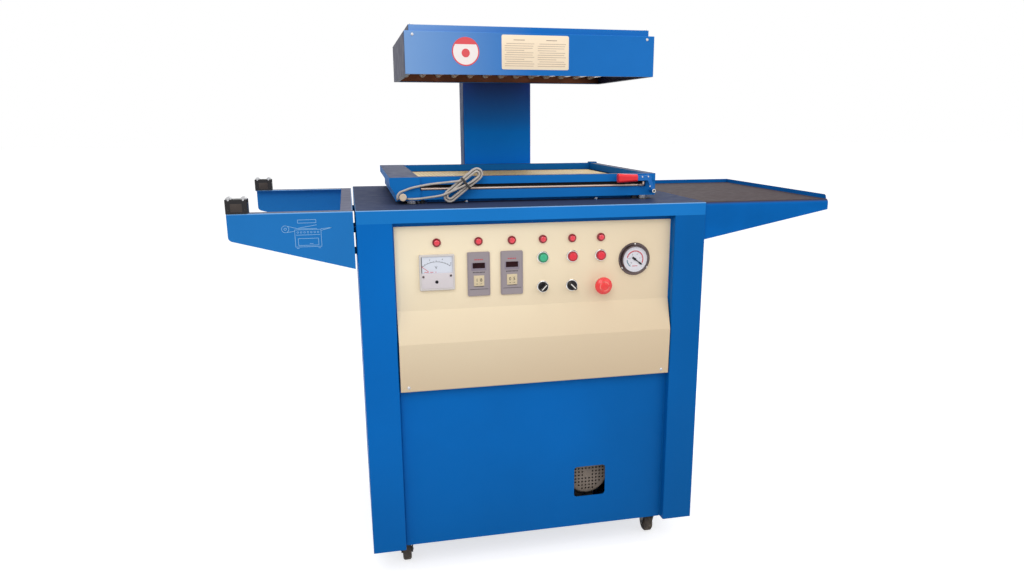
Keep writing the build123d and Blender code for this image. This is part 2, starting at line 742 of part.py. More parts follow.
def timers():
    """Two plug-in timers, each with a sunk display and a window for its thumbwheels."""
    pair = []
    z = TABLE_Z - TIMER_DROP
    y0 = RECESS - TIMER_PROUD
    for x in TIMER_XS:
        rim = along_y(Pos(x, z) * RectangleRounded(TIMER_W, TIMER_H, INSTRUMENT_R), y0, RECESS)
        rim = chamfer(rim.faces().sort_by(Axis.Y)[0].edges(), EDGE_BREAK)
        display = Pos(x, z + DISPLAY_RISE) * Rectangle(DISPLAY_W, DISPLAY_H)
        rim -= along_y(display, y0, y0 + DISPLAY_SINK)
        thumbwheels = Pos(x, z - THUMBWHEEL_DROP) * Rectangle(THUMBWHEEL_W, THUMBWHEEL_H)
        rim -= along_y(thumbwheels, y0, y0 + THUMBWHEEL_SINK)
        body = block(x - TIMER_BODY_W / 2, x + TIMER_BODY_W / 2, RECESS, RECESS + TIMER_BODY_L,
                     z - TIMER_BODY_H / 2, z + TIMER_BODY_H / 2)
        pair.append(rim + body)
    return group(pair)


def vacuum_gauge():
    """A flanged dial gauge with a sunk face."""
    front = -GAUGE_PROUD
    profile = (
        (0, front + GAUGE_SINK),
        (GAUGE_DIAL_R, front + GAUGE_SINK),
        (GAUGE_DIAL_R, front + EDGE_BREAK),
        (GAUGE_DIAL_R + EDGE_BREAK, front),
        (GAUGE_RIM_R - EDGE_BREAK, front),
        (GAUGE_RIM_R, front + EDGE_BREAK),
        (GAUGE_RIM_R, -GAUGE_FLANGE_T),
        (GAUGE_FLANGE_R - EDGE_BREAK, -GAUGE_FLANGE_T),
        (GAUGE_FLANGE_R, EDGE_BREAK - GAUGE_FLANGE_T),
        (GAUGE_FLANGE_R, 0),
        (GAUGE_DIAL_R, 0),
        (GAUGE_DIAL_R, GAUGE_BODY_L),
        (0, GAUGE_BODY_L),
    )
    return turned_y(profile, GAUGE_X, RECESS, TABLE_Z - GAUGE_DROP)


def indicator_lamps():
    """Six small lamps with domed lenses."""
    outline = Polyline(
        (0, LAMP_BODY_L),
        (LAMP_HOLE_R, LAMP_BODY_L),
        (LAMP_HOLE_R, 0),
        (LAMP_R, 0),
        (LAMP_R, -LAMP_RIM_H),
        (LAMP_LENS_R, -LAMP_RIM_H),
    )
    outline += dome(LAMP_LENS_R, -LAMP_RIM_H, -LAMP_PROUD)
    outline += Line((0, -LAMP_PROUD), (0, LAMP_BODY_L))
    lamp = revolve(make_face(outline), Axis.Y)
    return group([Pos(x, RECESS, TABLE_Z - LAMP_DROP) * lamp for x in LAMP_XS])


def control_places():
    """Middles of the bezels on the panel: buttons, selectors and the emergency stop."""
    places = [(x, BUTTON_DROP) for x in BUTTON_XS]
    places += [(x, SELECTOR_DROP) for x in SELECTOR_XS]
    return places + [(ESTOP_X, ESTOP_DROP)]


def control_bezels():
    """The metal rings of the push buttons and switches, each with its barrel."""
    socket = BUTTON_STROKE + SHUT_GAP
    profile = (
        (CAP_R + SEAT_GAP, 0),
        (CAP_R + SEAT_GAP, -BEZEL_PROUD),
        (BEZEL_R - EDGE_BREAK, -BEZEL_PROUD),
        (BEZEL_R, -BEZEL_PROUD + EDGE_BREAK),
        (BEZEL_R, 0),
        (BARREL_R, 0),
        (BARREL_R, BARREL_L),
        (0, BARREL_L),
        (0, BARREL_L - BARREL_END),
        (STEM_R + SEAT_GAP, BARREL_L - BARREL_END),
        (STEM_R + SEAT_GAP, socket),
        (BARREL_R - BARREL_WALL, socket),
        (BARREL_R - BARREL_WALL, 0),
    )
    return group([turned_y(profile, x, RECESS, TABLE_Z - drop) for x, drop in control_places()])


def stemmed_cap(x, drop, back):
    """A flat round cap on a stem; its back stands off the panel's face."""
    profile = (
        (0, -CAP_PROUD),
        (CAP_R - EDGE_BREAK, -CAP_PROUD),
        (CAP_R, -CAP_PROUD + EDGE_BREAK),
        (CAP_R, -back),
        (STEM_R, -back),
        (STEM_R, STEM_L),
        (0, STEM_L),
    )
    return turned_y(profile, x, RECESS, TABLE_Z - drop)


def push_button(x):
    """A flat round cap that can sink by its stroke."""
    return stemmed_cap(x, BUTTON_DROP, BUTTON_STROKE + SEAT_GAP)


def selector_knob(x, turn):
    """A round knob with a raised finger bar, turned to its place."""
    bar = Rot(0, 0, turn) * RectangleRounded(2 * CAP_R - EDGE_BREAK, KNOB_BAR_W, KNOB_BAR_R)
    bar = along_y(bar, -CAP_PROUD - KNOB_BAR_H, -CAP_PROUD)
    return stemmed_cap(x, SELECTOR_DROP, SHUT_GAP) + Pos(x, RECESS, TABLE_Z - SELECTOR_DROP) * bar


def estop_head():
    """The mushroom head of the emergency stop."""
    back = -ESTOP_PROUD + ESTOP_HEAD_H
    rim = back - ESTOP_RIM_H
    outline = Polyline(
        (0, STEM_L),
        (STEM_R, STEM_L),
        (STEM_R, back),
        (ESTOP_R - ESTOP_EDGE, back),
        (ESTOP_R, back - ESTOP_EDGE),
        (ESTOP_R, rim),
    )
    outline += dome(ESTOP_R, rim, -ESTOP_PROUD)
    outline += Line((0, -ESTOP_PROUD), (0, STEM_L))
    return Pos(ESTOP_X, RECESS, TABLE_Z - ESTOP_DROP) * revolve(make_face(outline), Axis.Y)


# Pump

def fan_hole_places():
    """Middles of the fan cover's air holes, in rows each side of the axis, clear of the boss."""
    rows = int(FAN_HOLES_REACH / FAN_HOLE_PITCH) + 1
    steps = [FAN_HOLE_PITCH * (i + 0.5) for i in range(-rows, rows)]
    places = [(PUMP_X + across, PUMP_Z + up) for across in steps for up in steps]
    return [(x, z) for x, z in places if FAN_BOSS_R < hypot(x - PUMP_X, z - PUMP_Z) < FAN_HOLES_REACH]


def fan_cover():
    """The cup over the pump's fan, seen through the window, with air holes in its face."""
    cup = bar_y(PUMP_X, PUMP_Z, PUMP_R, FAN_COVER_Y, FAN_COVER_Y + FAN_COVER_L)
    cup = fillet(cup.edges().sort_by(Axis.Y)[0], FAN_COVER_R)
    hollow = bar_y(PUMP_X, PUMP_Z, PUMP_R - SHEET, FAN_COVER_Y + SHEET, FAN_COVER_Y + FAN_COVER_L)
    cup -= fillet(hollow.edges().sort_by(Axis.Y)[0], FAN_COVER_R - SHEET)
    holes = [bar_y(x, z, FAN_HOLE_R, FAN_COVER_Y, FAN_COVER_Y + SHEET) for x, z in fan_hole_places()]
    return cup - holes


def vacuum_pump():
    """The pump's motor and body on its foot."""
    y0 = FAN_COVER_Y + FAN_COVER_L
    body = bar_y(PUMP_X, PUMP_Z, PUMP_R, y0, y0 + PUMP_L)
    x0, x1 = PUMP_X - PUMP_FOOT_W / 2, PUMP_X + PUMP_FOOT_W / 2
    foot = block(x0, x1, y0 + PUMP_FOOT_INSET, y0 + PUMP_L - PUMP_FOOT_INSET, BASE_Z + SHEET, PUMP_Z)
    return body + foot


# Film frame

def frame_ring(x0, z0, height):
    """A flat rectangular frame from x0 to the right end, wider at its left end."""
    outer = block(x0, FRAME_X1, FRAME_Y0, FRAME_Y1, z0, z0 + height)
    right = outer.edges().filter_by(Axis.Z).sort_by(Axis.X)[-2:]
    outer = fillet(right, CORNER_R)
    return outer - block(FRAME_X0 + FRAME_LEFT_W, FRAME_X1 - FRAME_RIGHT_W,
                         FRAME_Y0 + FRAME_BAR, FRAME_Y1 - FRAME_BAR, z0, z0 + height)


def lower_frame():
    """The lower frame with its hinge bores, feet, latch plate and latch stud."""
    z0 = TABLE_Z + LOWER_FRAME_Z
    frame = frame_ring(FRAME_X0 + EAR_SLOPE_W, z0, LOWER_FRAME_H)
    for y, inward in FRAME_SIDES:
        deep = y + inward * (HINGE_PIN_L + SHUT_GAP)
        frame -= bar_y(HINGE_X, TABLE_Z + HINGE_H, HINGE_PIN_R + RUNNING_GAP, min(y, deep), max(y, deep))
    for x in FOOT_XS:
        for y in ROD_YS:
            frame += bar_z(x, y, FOOT_R, TABLE_Z + SEAT_GAP, z0)
    plate = block(FRAME_X1 - LATCH_PLATE_W, FRAME_X1, FRAME_Y0, FRAME_Y0 + LATCH_PLATE_T,
                  z0 + LOWER_FRAME_H, TABLE_Z + UPPER_FRAME_Z - SHUT_GAP)
    frame += fillet(plate.edges().filter_by(Axis.Z).sort_by(Axis.X)[-2:].sort_by(Axis.Y)[0], CORNER_R)
    return frame + bar_y(LATCH_X, TABLE_Z + LATCH_H, LATCH_R, FRAME_Y0 - LATCH_L, FRAME_Y0)


def frame_seal():
    """The rubber ring on the lower frame, against which the film is gripped."""
    z0 = TABLE_Z + LOWER_FRAME_Z + LOWER_FRAME_H
    z1 = TABLE_Z + UPPER_FRAME_Z - SEAT_GAP
    inner = (FRAME_X0 + FRAME_LEFT_W, FRAME_X1 - FRAME_RIGHT_W, FRAME_Y0 + FRAME_BAR, FRAME_Y1 - FRAME_BAR)
    x0, x1, y0, y1 = inner
    near, far = SEAL_INSET, SEAL_INSET + SEAL_W
    ring = block(x0 - far, x1 + far, y0 - far, y1 + far, z0, z1)
    return ring - block(x0 - near, x1 + near, y0 - near, y1 + near, z0, z1)


def lift_rods():
    """Four chromed rods under the lower frame."""
    z0 = TABLE_Z - LIFT - BUSH_L - BEND
    return group([bar_z(x, y, ROD_R, z0, TABLE_Z + LOWER_FRAME_Z) for x, y in ROD_PLACES])


def cutter_rod():
    """A steel rod along the front of the lower frame, its right end turned out and up."""
    z = TABLE_Z + LOWER_FRAME_Z + LOWER_FRAME_H + CUTTER_ROD_R
    y = FRAME_Y0 + CUTTER_ROD_R + SHUT_GAP
    out = y - CUTTER_HOOK_R - CUTTER_ROD_R
    path = FilletPolyline(
        (CUTTER_ROD_X0, y, z),
        (CUTTER_ROD_X1, y, z),
        (CUTTER_ROD_X1 + CUTTER_HOOK_R, out, z),
        (CUTTER_ROD_X1 + CUTTER_HOOK_R, out, z + CUTTER_HOOK_H),
        radius=2 * CUTTER_ROD_R - 2,
    )
    start = Plane(origin=(CUTTER_ROD_X0, y, z), z_dir=(1, 0, 0))
    return sweep(start * Circle(CUTTER_ROD_R), path)


def upper_frame():
    """The upper frame, which presses the film down, with a tab on its rear right corner."""
    z0 = TABLE_Z + UPPER_FRAME_Z
    frame = frame_ring(FRAME_X0, z0, UPPER_FRAME_H)
    top = z0 + UPPER_FRAME_H
    tab = block(FRAME_X1 - CORNER_TAB_W, FRAME_X1, FRAME_Y1 - CORNER_TAB_W, FRAME_Y1, top, top + CORNER_TAB_H)
    return frame + fillet(tab.edges().filter_by(Axis.Z).sort_by(Axis.X)[-1:], CORNER_R)


def hinge_ears():
    """Cheek plates that hang from the upper frame's left end, with the hinge pins."""
    top = TABLE_Z + UPPER_FRAME_Z + UPPER_FRAME_H
    foot = TABLE_Z + EAR_FOOT_H
    x1 = FRAME_X0 + FRAME_LEFT_W + 2
    shape = make_face(Polyline(
        (FRAME_X0, top),
        (x1, top),
        (x1, foot),
        (FRAME_X0 + EAR_SLOPE_W, foot),
        (FRAME_X0 + EAR_SLOPE_W, foot + EAR_TOE_H),
        (FRAME_X0, top - UPPER_FRAME_H),
        close=True,
    ))
    pad = Pos((FRAME_X0 + x1) / 2, top - UPPER_FRAME_H / 2) * Rectangle(x1 - FRAME_X0, UPPER_FRAME_H)
    ears = []
    for y, inward in FRAME_SIDES:
        near, far = y - inward * EAR_GAP, y - inward * (EAR_GAP + EAR_T)
        ear = along_y(shape, min(near, far), max(near, far))
        ear += along_y(pad, min(near, y), max(near, y))
        deep = y + inward * HINGE_PIN_L
        ears.append(ear + bar_y(HINGE_X, TABLE_Z + HINGE_H, HINGE_PIN_R, min(near, deep), max(near, deep)))
    return group(ears)


def hinge_caps():
    """Round caps over the hinge pins' ends."""
    caps = []
    for y, inward in FRAME_SIDES:
        near = y - inward * (EAR_GAP + EAR_T)
        far = near - inward * HINGE_CAP_L
        cap = bar_y(HINGE_X, TABLE_Z + HINGE_H, HINGE_CAP_R, min(near, far), max(near, far))
        rim = cap.edges().filter_by(GeomType.CIRCLE).sort_by(Axis.Y)[0 if inward > 0 else -1]
        caps.append(fillet(rim, 2))
    return group(caps)


# Clamp lever

def clamp_lever():
    """A flat steel lever on a boss; its nose ends in an arc about the pivot, just clear of the latch stud."""
    z = TABLE_Z + LEVER_H
    y0 = FRAME_Y0 - LEVER_STANDOFF
    inner_end = GRIP_X0 + GRIP_END_WALL
    drop, side = LATCH_H - LEVER_H, LATCH_X - LEVER_X
    reach = hypot(side, drop) - LATCH_R - SEAT_GAP
    nose = Pos(reach / 2, 0) * Rectangle(reach, LEVER_NOSE_W) & Circle(reach)
    flat = Pos((inner_end + LEVER_X) / 2, z) * Rectangle(LEVER_X - inner_end, LEVER_W)
    flat += Pos(LEVER_X, z) * (Circle(LEVER_EYE_R) + Rot(0, 0, degrees(atan2(drop, side))) * nose)
    return along_y(flat, y0, y0 + LEVER_T) + bar_y(LEVER_X, z, LEVER_BOSS_R, y0 + LEVER_T, FRAME_Y0)


def clamp_grip():
    """The plastic grip round the lever's free end."""
    z = TABLE_Z + LEVER_H
    y = FRAME_Y0 - LEVER_STANDOFF + LEVER_T / 2
    start = Plane(origin=(GRIP_X0, y, z), x_dir=(0, 1, 0), z_dir=(1, 0, 0))
    end = Plane(origin=(GRIP_X1, y, z), x_dir=(0, 1, 0), z_dir=(1, 0, 0))
    body = loft([start * RectangleRounded(GRIP_T, GRIP_H, GRIP_R),
                 end * RectangleRounded(GRIP_T - GRIP_TAPER, GRIP_H - GRIP_TAPER, GRIP_R)])
    body = fillet(body.faces().sort_by(Axis.X)[0].edges(), GRIP_R / 2)
    slot = block(GRIP_X0 + GRIP_END_WALL - SEAT_GAP, GRIP_X1, y - LEVER_T / 2, y + LEVER_T / 2,
                 z - LEVER_W / 2, z + LEVER_W / 2)
    return body - slot


# Cord

def cord_tube(route):
    """A round cord along straight runs joined by arcs as large as the runs allow."""
    points = [Vector(x, y, TABLE_Z + z) for x, y, z in route]
    radii = []
    for before, corner, after in zip(points, points[1:], points[2:]):
        run_in, run_out = corner - before, after - corner
        turn = run_in.get_angle(run_out)
        shorter = min(run_in.length, run_out.length)
        half = radians(turn / 2)
        radii.append(0.45 * shorter * cos(half) / sin(half))
    path = FilletPolyline(*points, radius=radii)
    print("cord radii", [round(r, 1) for r in radii], "length", round(path.length, 1))
    start = Plane(origin=path @ 0, z_dir=path % 0)
    return sweep(start * Circle(CORD_R), path)


def cord_hank():
    """The outer shape of the folded hank: a flat oval, narrower where the tie holds it."""
    low, high = Vector(*HANK_LOW) + (0, 0, TABLE_Z), Vector(*HANK_HIGH) + (0, 0, TABLE_Z)
    length = (high - low).length
    plane = Plane(origin=(low + high) * 0.5, x_dir=high - low, z_dir=(0, -1, 0))
    solid = extrude(plane * SlotOverall(length, HANK_W), HANK_T / 2, both=True)
    return fillet(solid.edges(), HANK_T / 3)


# Casters

def caster_plates():
    """The four fixed plates with the swivel bosses."""
    plates = []
    for x, y in CASTER_PLACES.values():
        half = CASTER_PLATE_W / 2
        z = BASE_Z - CASTER_PLATE_T
        plate = fillet(block(x - half, x + half, y - half, y + half, z, BASE_Z).edges().filter_by(Axis.Z), BEND)
        plate += bar_z(x, y, CASTER_BOSS_R, FORK_TOP_Z + SEAT_GAP, z)
        plates.append(plate - bar_z(x, y, KING_PIN_R + RUNNING_GAP, FORK_TOP_Z, z))
    return group(plates)


def caster_fork(x, y):
    """The swivelling fork with its king pin and axle."""
    top = FORK_TOP_Z - FORK_TOP_T
    wheel_y = y + CASTER_TRAIL
    fork = bar_z(x, y, FORK_TOP_R, top, FORK_TOP_Z)
    fork += bar_z(x, y, KING_PIN_R, FORK_TOP_Z, BASE_Z - CASTER_PLATE_T - SHUT_GAP)
    cheek = make_face(Polyline(
        (y - FORK_FRONT, top),
        (y + FORK_REAR, top),
        (wheel_y + FORK_EYE_R, WHEEL_R),
        (wheel_y - FORK_EYE_R, WHEEL_R),
        close=True,
    ))
    cheek += Pos(wheel_y, WHEEL_R) * Circle(FORK_EYE_R)
    inner = WHEEL_W / 2 + FORK_GAP
    for x0 in (x - inner - FORK_T, x + inner):
        fork += extrude(Plane.YZ.offset(x0) * cheek, FORK_T, dir=(1, 0, 0))
    reach = inner + FORK_T + AXLE_NUT_L
    return fork + Pos(x, wheel_y, WHEEL_R) * Rot(0, 90, 0) * Cylinder(AXLE_R, 2 * reach)


def caster_wheel(x, y):
    """A plain wheel with a rounded tread, a sunk web and a hub."""
    half = WHEEL_W / 2
    hub = half + FORK_GAP - SEAT_GAP
    web = half - WHEEL_WEB_SINK
    bore = AXLE_R + RUNNING_GAP
    right = (
        (hub, WHEEL_HUB_R),
        (web, WHEEL_HUB_R),
        (web, WHEEL_R - TREAD_T),
        (half, WHEEL_R - TREAD_T),
        (half, WHEEL_R - TREAD_R),
        (half - TREAD_R, WHEEL_R),
    )
    left = [(-across, radius) for across, radius in reversed(right)]
    section = make_face(Polyline((-hub, bore), (hub, bore), *right, *left, close=True))
    return Pos(x, y + CASTER_TRAIL, WHEEL_R) * revolve(section, Axis.X)


def build_nodes():
    """Every node of the machine by name."""
    left_side, front_plate = side_panel(), roll_plate()
    nodes = {
        "side_panel_left": left_side,
        "side_panel_right": mirror(left_side, about=Plane.YZ),
        "back_panel": back_panel(),
        "base_pan": base_pan(),
        "front_rail": front_rail(),
        "lower_front_panel": lower_front_panel(),
        "control_panel": control_panel(),
        "table_top": table_top(),
        "vacuum_box": vacuum_box(),
        "platform_plate": platform_plate(),
        "guide_bushes": guide_bushes(),
        "column": column(),
        "heater_arm": heater_arm(),
        "heater_housing": heater_housing(),
        "heater_lid": heater_lid(),
        "heater_reflector": heater_reflector(),
        "heater_tubes": heater_tubes(),
        "roll_plate_front": front_plate,
        "roll_plate_rear": mirror(front_plate, about=Plane.XZ.offset(-ROLL_SPAN / 2)),
        "roll_plate_end": roll_plate_end(),
        "roller_blocks": roller_blocks(),
        "tray_pan": tray_pan(),
        "voltmeter": voltmeter(),
        "timers": timers(),
        "vacuum_gauge": vacuum_gauge(),
        "indicator_lamps": indicator_lamps(),
        "control_bezels": control_bezels(),
        "vacuum_pump": vacuum_pump(),
        "fan_cover": fan_cover(),
        "caster_plates": caster_plates(),
        "lower_frame": lower_frame(),
        "frame_seal": frame_seal(),
        "lift_rods": lift_rods(),
        "cutter_rod": cutter_rod(),
        "upper_frame": upper_frame(),
        "hinge_ears": hinge_ears(),
        "hinge_caps": hinge_caps(),
        "cord_upper": cord_tube(CORD_UPPER_ROUTE),
        "cord_lower": cord_tube(CORD_LOWER_ROUTE),
        "cord_hank": cord_hank(),
        "clamp_lever": clamp_lever(),
        "clamp_grip": clamp_grip(),
        "start_button": push_button(BUTTON_XS[0]),
        "stop_button": push_button(BUTTON_XS[1]),
        "heat_button": push_button(BUTTON_XS[2]),
        "selector_left": selector_knob(SELECTOR_XS[0], SELECTOR_TURNS[0]),
        "selector_right": selector_knob(SELECTOR_XS[1], SELECTOR_TURNS[1]),
        "estop_head": estop_head(),
    }
    for end, y in zip(("front", "rear"), BLOCK_YS):
        for side, x in zip(("outer", "inner"), ROLLER_XS):
            nodes[f"film_roller_{end}_{side}"] = film_roller(x, y)
    for corner, (x, y) in CASTER_PLACES.items():
        nodes[f"caster_fork_{corner}"] = caster_fork(x, y)
        nodes[f"caster_wheel_{corner}"] = caster_wheel(x, y)
    return nodes


for name, solid in build_nodes().items():
    export_step(TO_ORIGIN * solid, f"parts/{name}.step")
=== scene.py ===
"""The looks of a skin packaging machine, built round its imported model."""

import logging
import math
from dataclasses import dataclass, field
from enum import Enum
from typing import Callable, Iterable, Sequence

import bmesh
import bpy
from mathutils import Matrix, Vector


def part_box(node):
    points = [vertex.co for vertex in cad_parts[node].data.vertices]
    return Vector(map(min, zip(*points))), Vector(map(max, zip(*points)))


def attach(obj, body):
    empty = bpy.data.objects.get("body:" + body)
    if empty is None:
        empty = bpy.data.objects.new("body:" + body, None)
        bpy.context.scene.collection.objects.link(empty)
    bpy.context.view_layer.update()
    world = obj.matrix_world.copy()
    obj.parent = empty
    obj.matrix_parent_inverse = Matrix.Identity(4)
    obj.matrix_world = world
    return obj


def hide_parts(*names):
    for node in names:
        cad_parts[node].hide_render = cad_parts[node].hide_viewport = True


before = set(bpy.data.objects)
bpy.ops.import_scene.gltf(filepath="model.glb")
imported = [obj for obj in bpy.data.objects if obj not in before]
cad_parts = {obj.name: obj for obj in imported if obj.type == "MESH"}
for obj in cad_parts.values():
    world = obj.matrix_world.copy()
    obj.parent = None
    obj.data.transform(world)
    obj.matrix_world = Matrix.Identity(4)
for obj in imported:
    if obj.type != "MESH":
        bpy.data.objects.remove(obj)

LOG = logging.getLogger("skin_packaging_machine")
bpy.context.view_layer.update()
MM = 0.001
TABLE_LOW, TABLE_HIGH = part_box("table_top")
TABLE_ORIGIN = Vector(((TABLE_LOW.x + TABLE_HIGH.x) / 2, TABLE_LOW.y, TABLE_HIGH.z))

Colour = tuple[float, float, float]
Point = tuple[float, float, float]


def at(x: float, y: float, z: float) -> Vector:
    """A place in the row frame, in metres.

    Args:
        x: millimetres right of the cabinet's middle.
        y: millimetres behind the cabinet's front.
        z: millimetres above the table top.

    Returns:
        The place as a vector.
    """
    return TABLE_ORIGIN + Vector((x, y, z)) * MM


def srgb(red: int, green: int, blue: int) -> Colour:
    """A colour as a screen shows it, turned linear.

    Args:
        red: red from 0 to 255.
        green: green from 0 to 255.
        blue: blue from 0 to 255.

    Returns:
        The three linear values.
    """
    def linear(value: int) -> float:
        """One channel, turned linear."""
        share = value / 255
        return share / 12.92 if share <= 0.04045 else ((share + 0.055) / 1.055) ** 2.4

    return linear(red), linear(green), linear(blue)


class Axis(Enum):
    """The way a turned piece's middle line points."""

    X = "x"
    Y = "y"
    Z = "z"


# Finishes


@dataclass(frozen=True)
class Finish:
    """One surface finish, made as a node material on Object coordinates."""

    name: str
    colour: Colour
    roughness: float = 0.5
    metallic: float = 0.0
    coat: float = 0.0
    specular: float = 0.5
    wander: float = 0.05
    wander_scale: float = 5.0
    rough_wander: float = 0.06
    grain_scale: float = 700.0
    grain: float = 0.06
    grain_depth: float = 0.0004
    stretch: Point = (1.0, 1.0, 1.0)
    transmission: float = 0.0

    def material(self) -> bpy.types.Material:
        """The material, made once and then shared."""
        ready = bpy.data.materials.get(self.name)
        if ready is not None:
            return ready
        made = bpy.data.materials.new(self.name)
        made.use_nodes = True
        nodes, links = made.node_tree.nodes, made.node_tree.links
        shader = nodes["Principled BSDF"]
        shader.inputs["Metallic"].default_value = self.metallic
        shader.inputs["Coat Weight"].default_value = self.coat
        shader.inputs["Coat Roughness"].default_value = 0.08
        shader.inputs["Specular IOR Level"].default_value = self.specular
        shader.inputs["Transmission Weight"].default_value = self.transmission
        coordinates = nodes.new("ShaderNodeTexCoord")
        mapping = nodes.new("ShaderNodeMapping")
        mapping.inputs["Scale"].default_value = self.stretch
        links.new(coordinates.outputs["Object"], mapping.inputs["Vector"])
        self._paint(made, mapping.outputs["Vector"])
        self._roughen(made, mapping.outputs["Vector"])
        return made

    def _noise(self, made: bpy.types.Material, vector: bpy.types.NodeSocket, scale: float) -> bpy.types.NodeSocket:
        """A noise that reads the piece's own coordinates.

        Args:
            made: the material.
            vector: the coordinates.
            scale: how fine the noise is.

        Returns:
            The noise's value.
        """
        noise = made.node_tree.nodes.new("ShaderNodeTexNoise")
        noise.inputs["Scale"].default_value = scale
        noise.inputs["Detail"].default_value = 3.0
        made.node_tree.links.new(vector, noise.inputs["Vector"])
        return noise.outputs["Fac"]

    def _ranged(self, made: bpy.types.Material, value: bpy.types.NodeSocket, low: float,
                high: float, edges: tuple[float, float] = (0.3, 0.7)) -> bpy.types.NodeSocket:
        """A value spread between two limits.

        Args:
            made: the material.
            value: what is spread.
            low: the result at the first edge.
            high: the result at the second edge.
            edges: the values at which the limits are reached.

        Returns:
            The spread value.
        """
        spread = made.node_tree.nodes.new("ShaderNodeMapRange")
        spread.inputs["From Min"].default_value, spread.inputs["From Max"].default_value = edges
        spread.inputs["To Min"].default_value = low
        spread.inputs["To Max"].default_value = high
        made.node_tree.links.new(value, spread.inputs["Value"])
        return spread.outputs["Result"]

    def _mixed(self, made: bpy.types.Material, factor: bpy.types.NodeSocket,
               first: Colour | bpy.types.NodeSocket, second: Colour | bpy.types.NodeSocket) -> bpy.types.NodeSocket:
        """A blend of two colours.

        Args:
            made: the material.
            factor: how much of the second shows.
            first: a colour or a socket.
            second: a colour or a socket.

        Returns:
            The blended colour.
        """
        mix = made.node_tree.nodes.new("ShaderNodeMix")
        mix.data_type = "RGBA"
        made.node_tree.links.new(factor, mix.inputs["Factor"])
        for name, value in (("A", first), ("B", second)):
            socket = next(s for s in mix.inputs if s.name == name and s.type == "RGBA")
            if isinstance(value, tuple):
                socket.default_value = (*value, 1.0)
            else:
                made.node_tree.links.new(value, socket)
        return next(s for s in mix.outputs if s.type == "RGBA")

    def _paint(self, made: bpy.types.Material, vector: bpy.types.NodeSocket) -> None:
        """Joins the wandering colour to the shader."""
        shader = made.node_tree.nodes["Principled BSDF"]
        made.node_tree.links.new(self._colour_over(made, vector), shader.inputs["Base Color"])

    def _colour_over(self, made: bpy.types.Material, vector: bpy.types.NodeSocket) -> bpy.types.NodeSocket:
        """The colour, a little darker and lighter from place to place."""
        cloud = self._ranged(made, self._noise(made, vector, self.wander_scale), 0.0, 1.0)
        dark = tuple(c * (1 - self.wander) for c in self.colour)
        light = tuple(min(1.0, c * (1 + self.wander)) for c in self.colour)
        return self._mixed(made, cloud, dark, light)

    def _roughen(self, made: bpy.types.Material, vector: bpy.types.NodeSocket) -> None:
        """Joins the roughness and the fine grain to the shader."""
        nodes, links = made.node_tree.nodes, made.node_tree.links
        shader = nodes["Principled BSDF"]
        patches = self._noise(made, vector, self.wander_scale * 7)
        low, high = self.roughness - self.rough_wander, self.roughness + self.rough_wander
        links.new(self._ranged(made, patches, max(0.02, low), min(1.0, high)), shader.inputs["Roughness"])
        bump = nodes.new("ShaderNodeBump")
        bump.inputs["Strength"].default_value = self.grain
        bump.inputs["Distance"].default_value = self.grain_depth
        links.new(self._noise(made, vector, self.grain_scale), bump.inputs["Height"])
        links.new(bump.outputs["Normal"], shader.inputs["Normal"])


class Reads(Enum):
    """What a layer of painted light and shade follows: the way a face looks, or its place on the piece."""

    FACING = "Normal"
    PLACE = "Object"


@dataclass(frozen=True)
class PaintedLightLayer:
    """A layer of painted light and shade over paint, or of the plain paint put back over it, on the faces that look one
    way or towards one end of a piece.
    """

    colour: Colour
    share: float
    start: float
    end: float
    reads: Reads = Reads.FACING
    axis: str = "Z"


@dataclass(frozen=True)
class PaintWithPaintedLight(Finish):
    """Paint under one or more layers of painted light and shade, each of another colour."""

    light_layers: tuple[PaintedLightLayer, ...] = ()

    def _colour_over(self, made: bpy.types.Material, vector: bpy.types.NodeSocket) -> bpy.types.NodeSocket:
        """The paint's colour, changed by each layer of painted light and shade in turn."""
        nodes, links = made.node_tree.nodes, made.node_tree.links
        coordinates = nodes.new("ShaderNodeTexCoord")
        colour = super()._colour_over(made, vector)
        # Each layer is painted light or shade, or plain paint put back over it.
        for film in self.light_layers:
            split = nodes.new("ShaderNodeSeparateXYZ")
            links.new(coordinates.outputs[film.reads.value], split.inputs["Vector"])
            level = self._ranged(made, split.outputs[film.axis], 0.0, film.share, (film.start, film.end))
            colour = self._mixed(made, level, colour, film.colour)
        return colour


@dataclass(frozen=True)
class Perforated(Finish):
    """Sheet with a square grid of fine round holes."""

    pitch: float = 10.0
    hole: float = 1.5
    dark: Colour = (0.02, 0.016, 0.01)

    def _colour_over(self, made: bpy.types.Material, vector: bpy.types.NodeSocket) -> bpy.types.NodeSocket:
        """The sheet's colour with a dark dot at each hole."""
        nodes, links = made.node_tree.nodes, made.node_tree.links
        steps = (
            ("MULTIPLY", (1 / (self.pitch * MM),) * 3),
            ("FRACTION", None),
            ("SUBTRACT", (0.5, 0.5, 0.5)),
            ("MULTIPLY", (1.0, 1.0, 0.0)),
        )
        place = vector
        for operation, value in steps:
            step = nodes.new("ShaderNodeVectorMath")
            step.operation = operation
            links.new(place, step.inputs[0])
            if value is not None:
                step.inputs[1].default_value = value
            place = step.outputs["Vector"]
        length = nodes.new("ShaderNodeVectorMath")
        length.operation = "LENGTH"
        links.new(place, length.inputs[0])
        edge = self.hole / self.pitch
        outside = self._ranged(made, length.outputs["Value"], 0.0, 1.0, (edge * 0.85, edge * 1.15))
        return self._mixed(made, outside, self.dark, super()._colour_over(made, vector))


@dataclass(frozen=True)
class Trodden(Finish):
    """Rubber with worn, dusty patches."""

    dust: Colour = (0.2, 0.17, 0.14)

    def _colour_over(self, made: bpy.types.Material, vector: bpy.types.NodeSocket) -> bpy.types.NodeSocket:
        """The rubber's colour under patches of dust."""
        patches = self._ranged(made, self._noise(made, vector, 160.0), 0.0, 0.8, (0.48, 0.66))
        return self._mixed(made, patches, super()._colour_over(made, vector), self.dust)


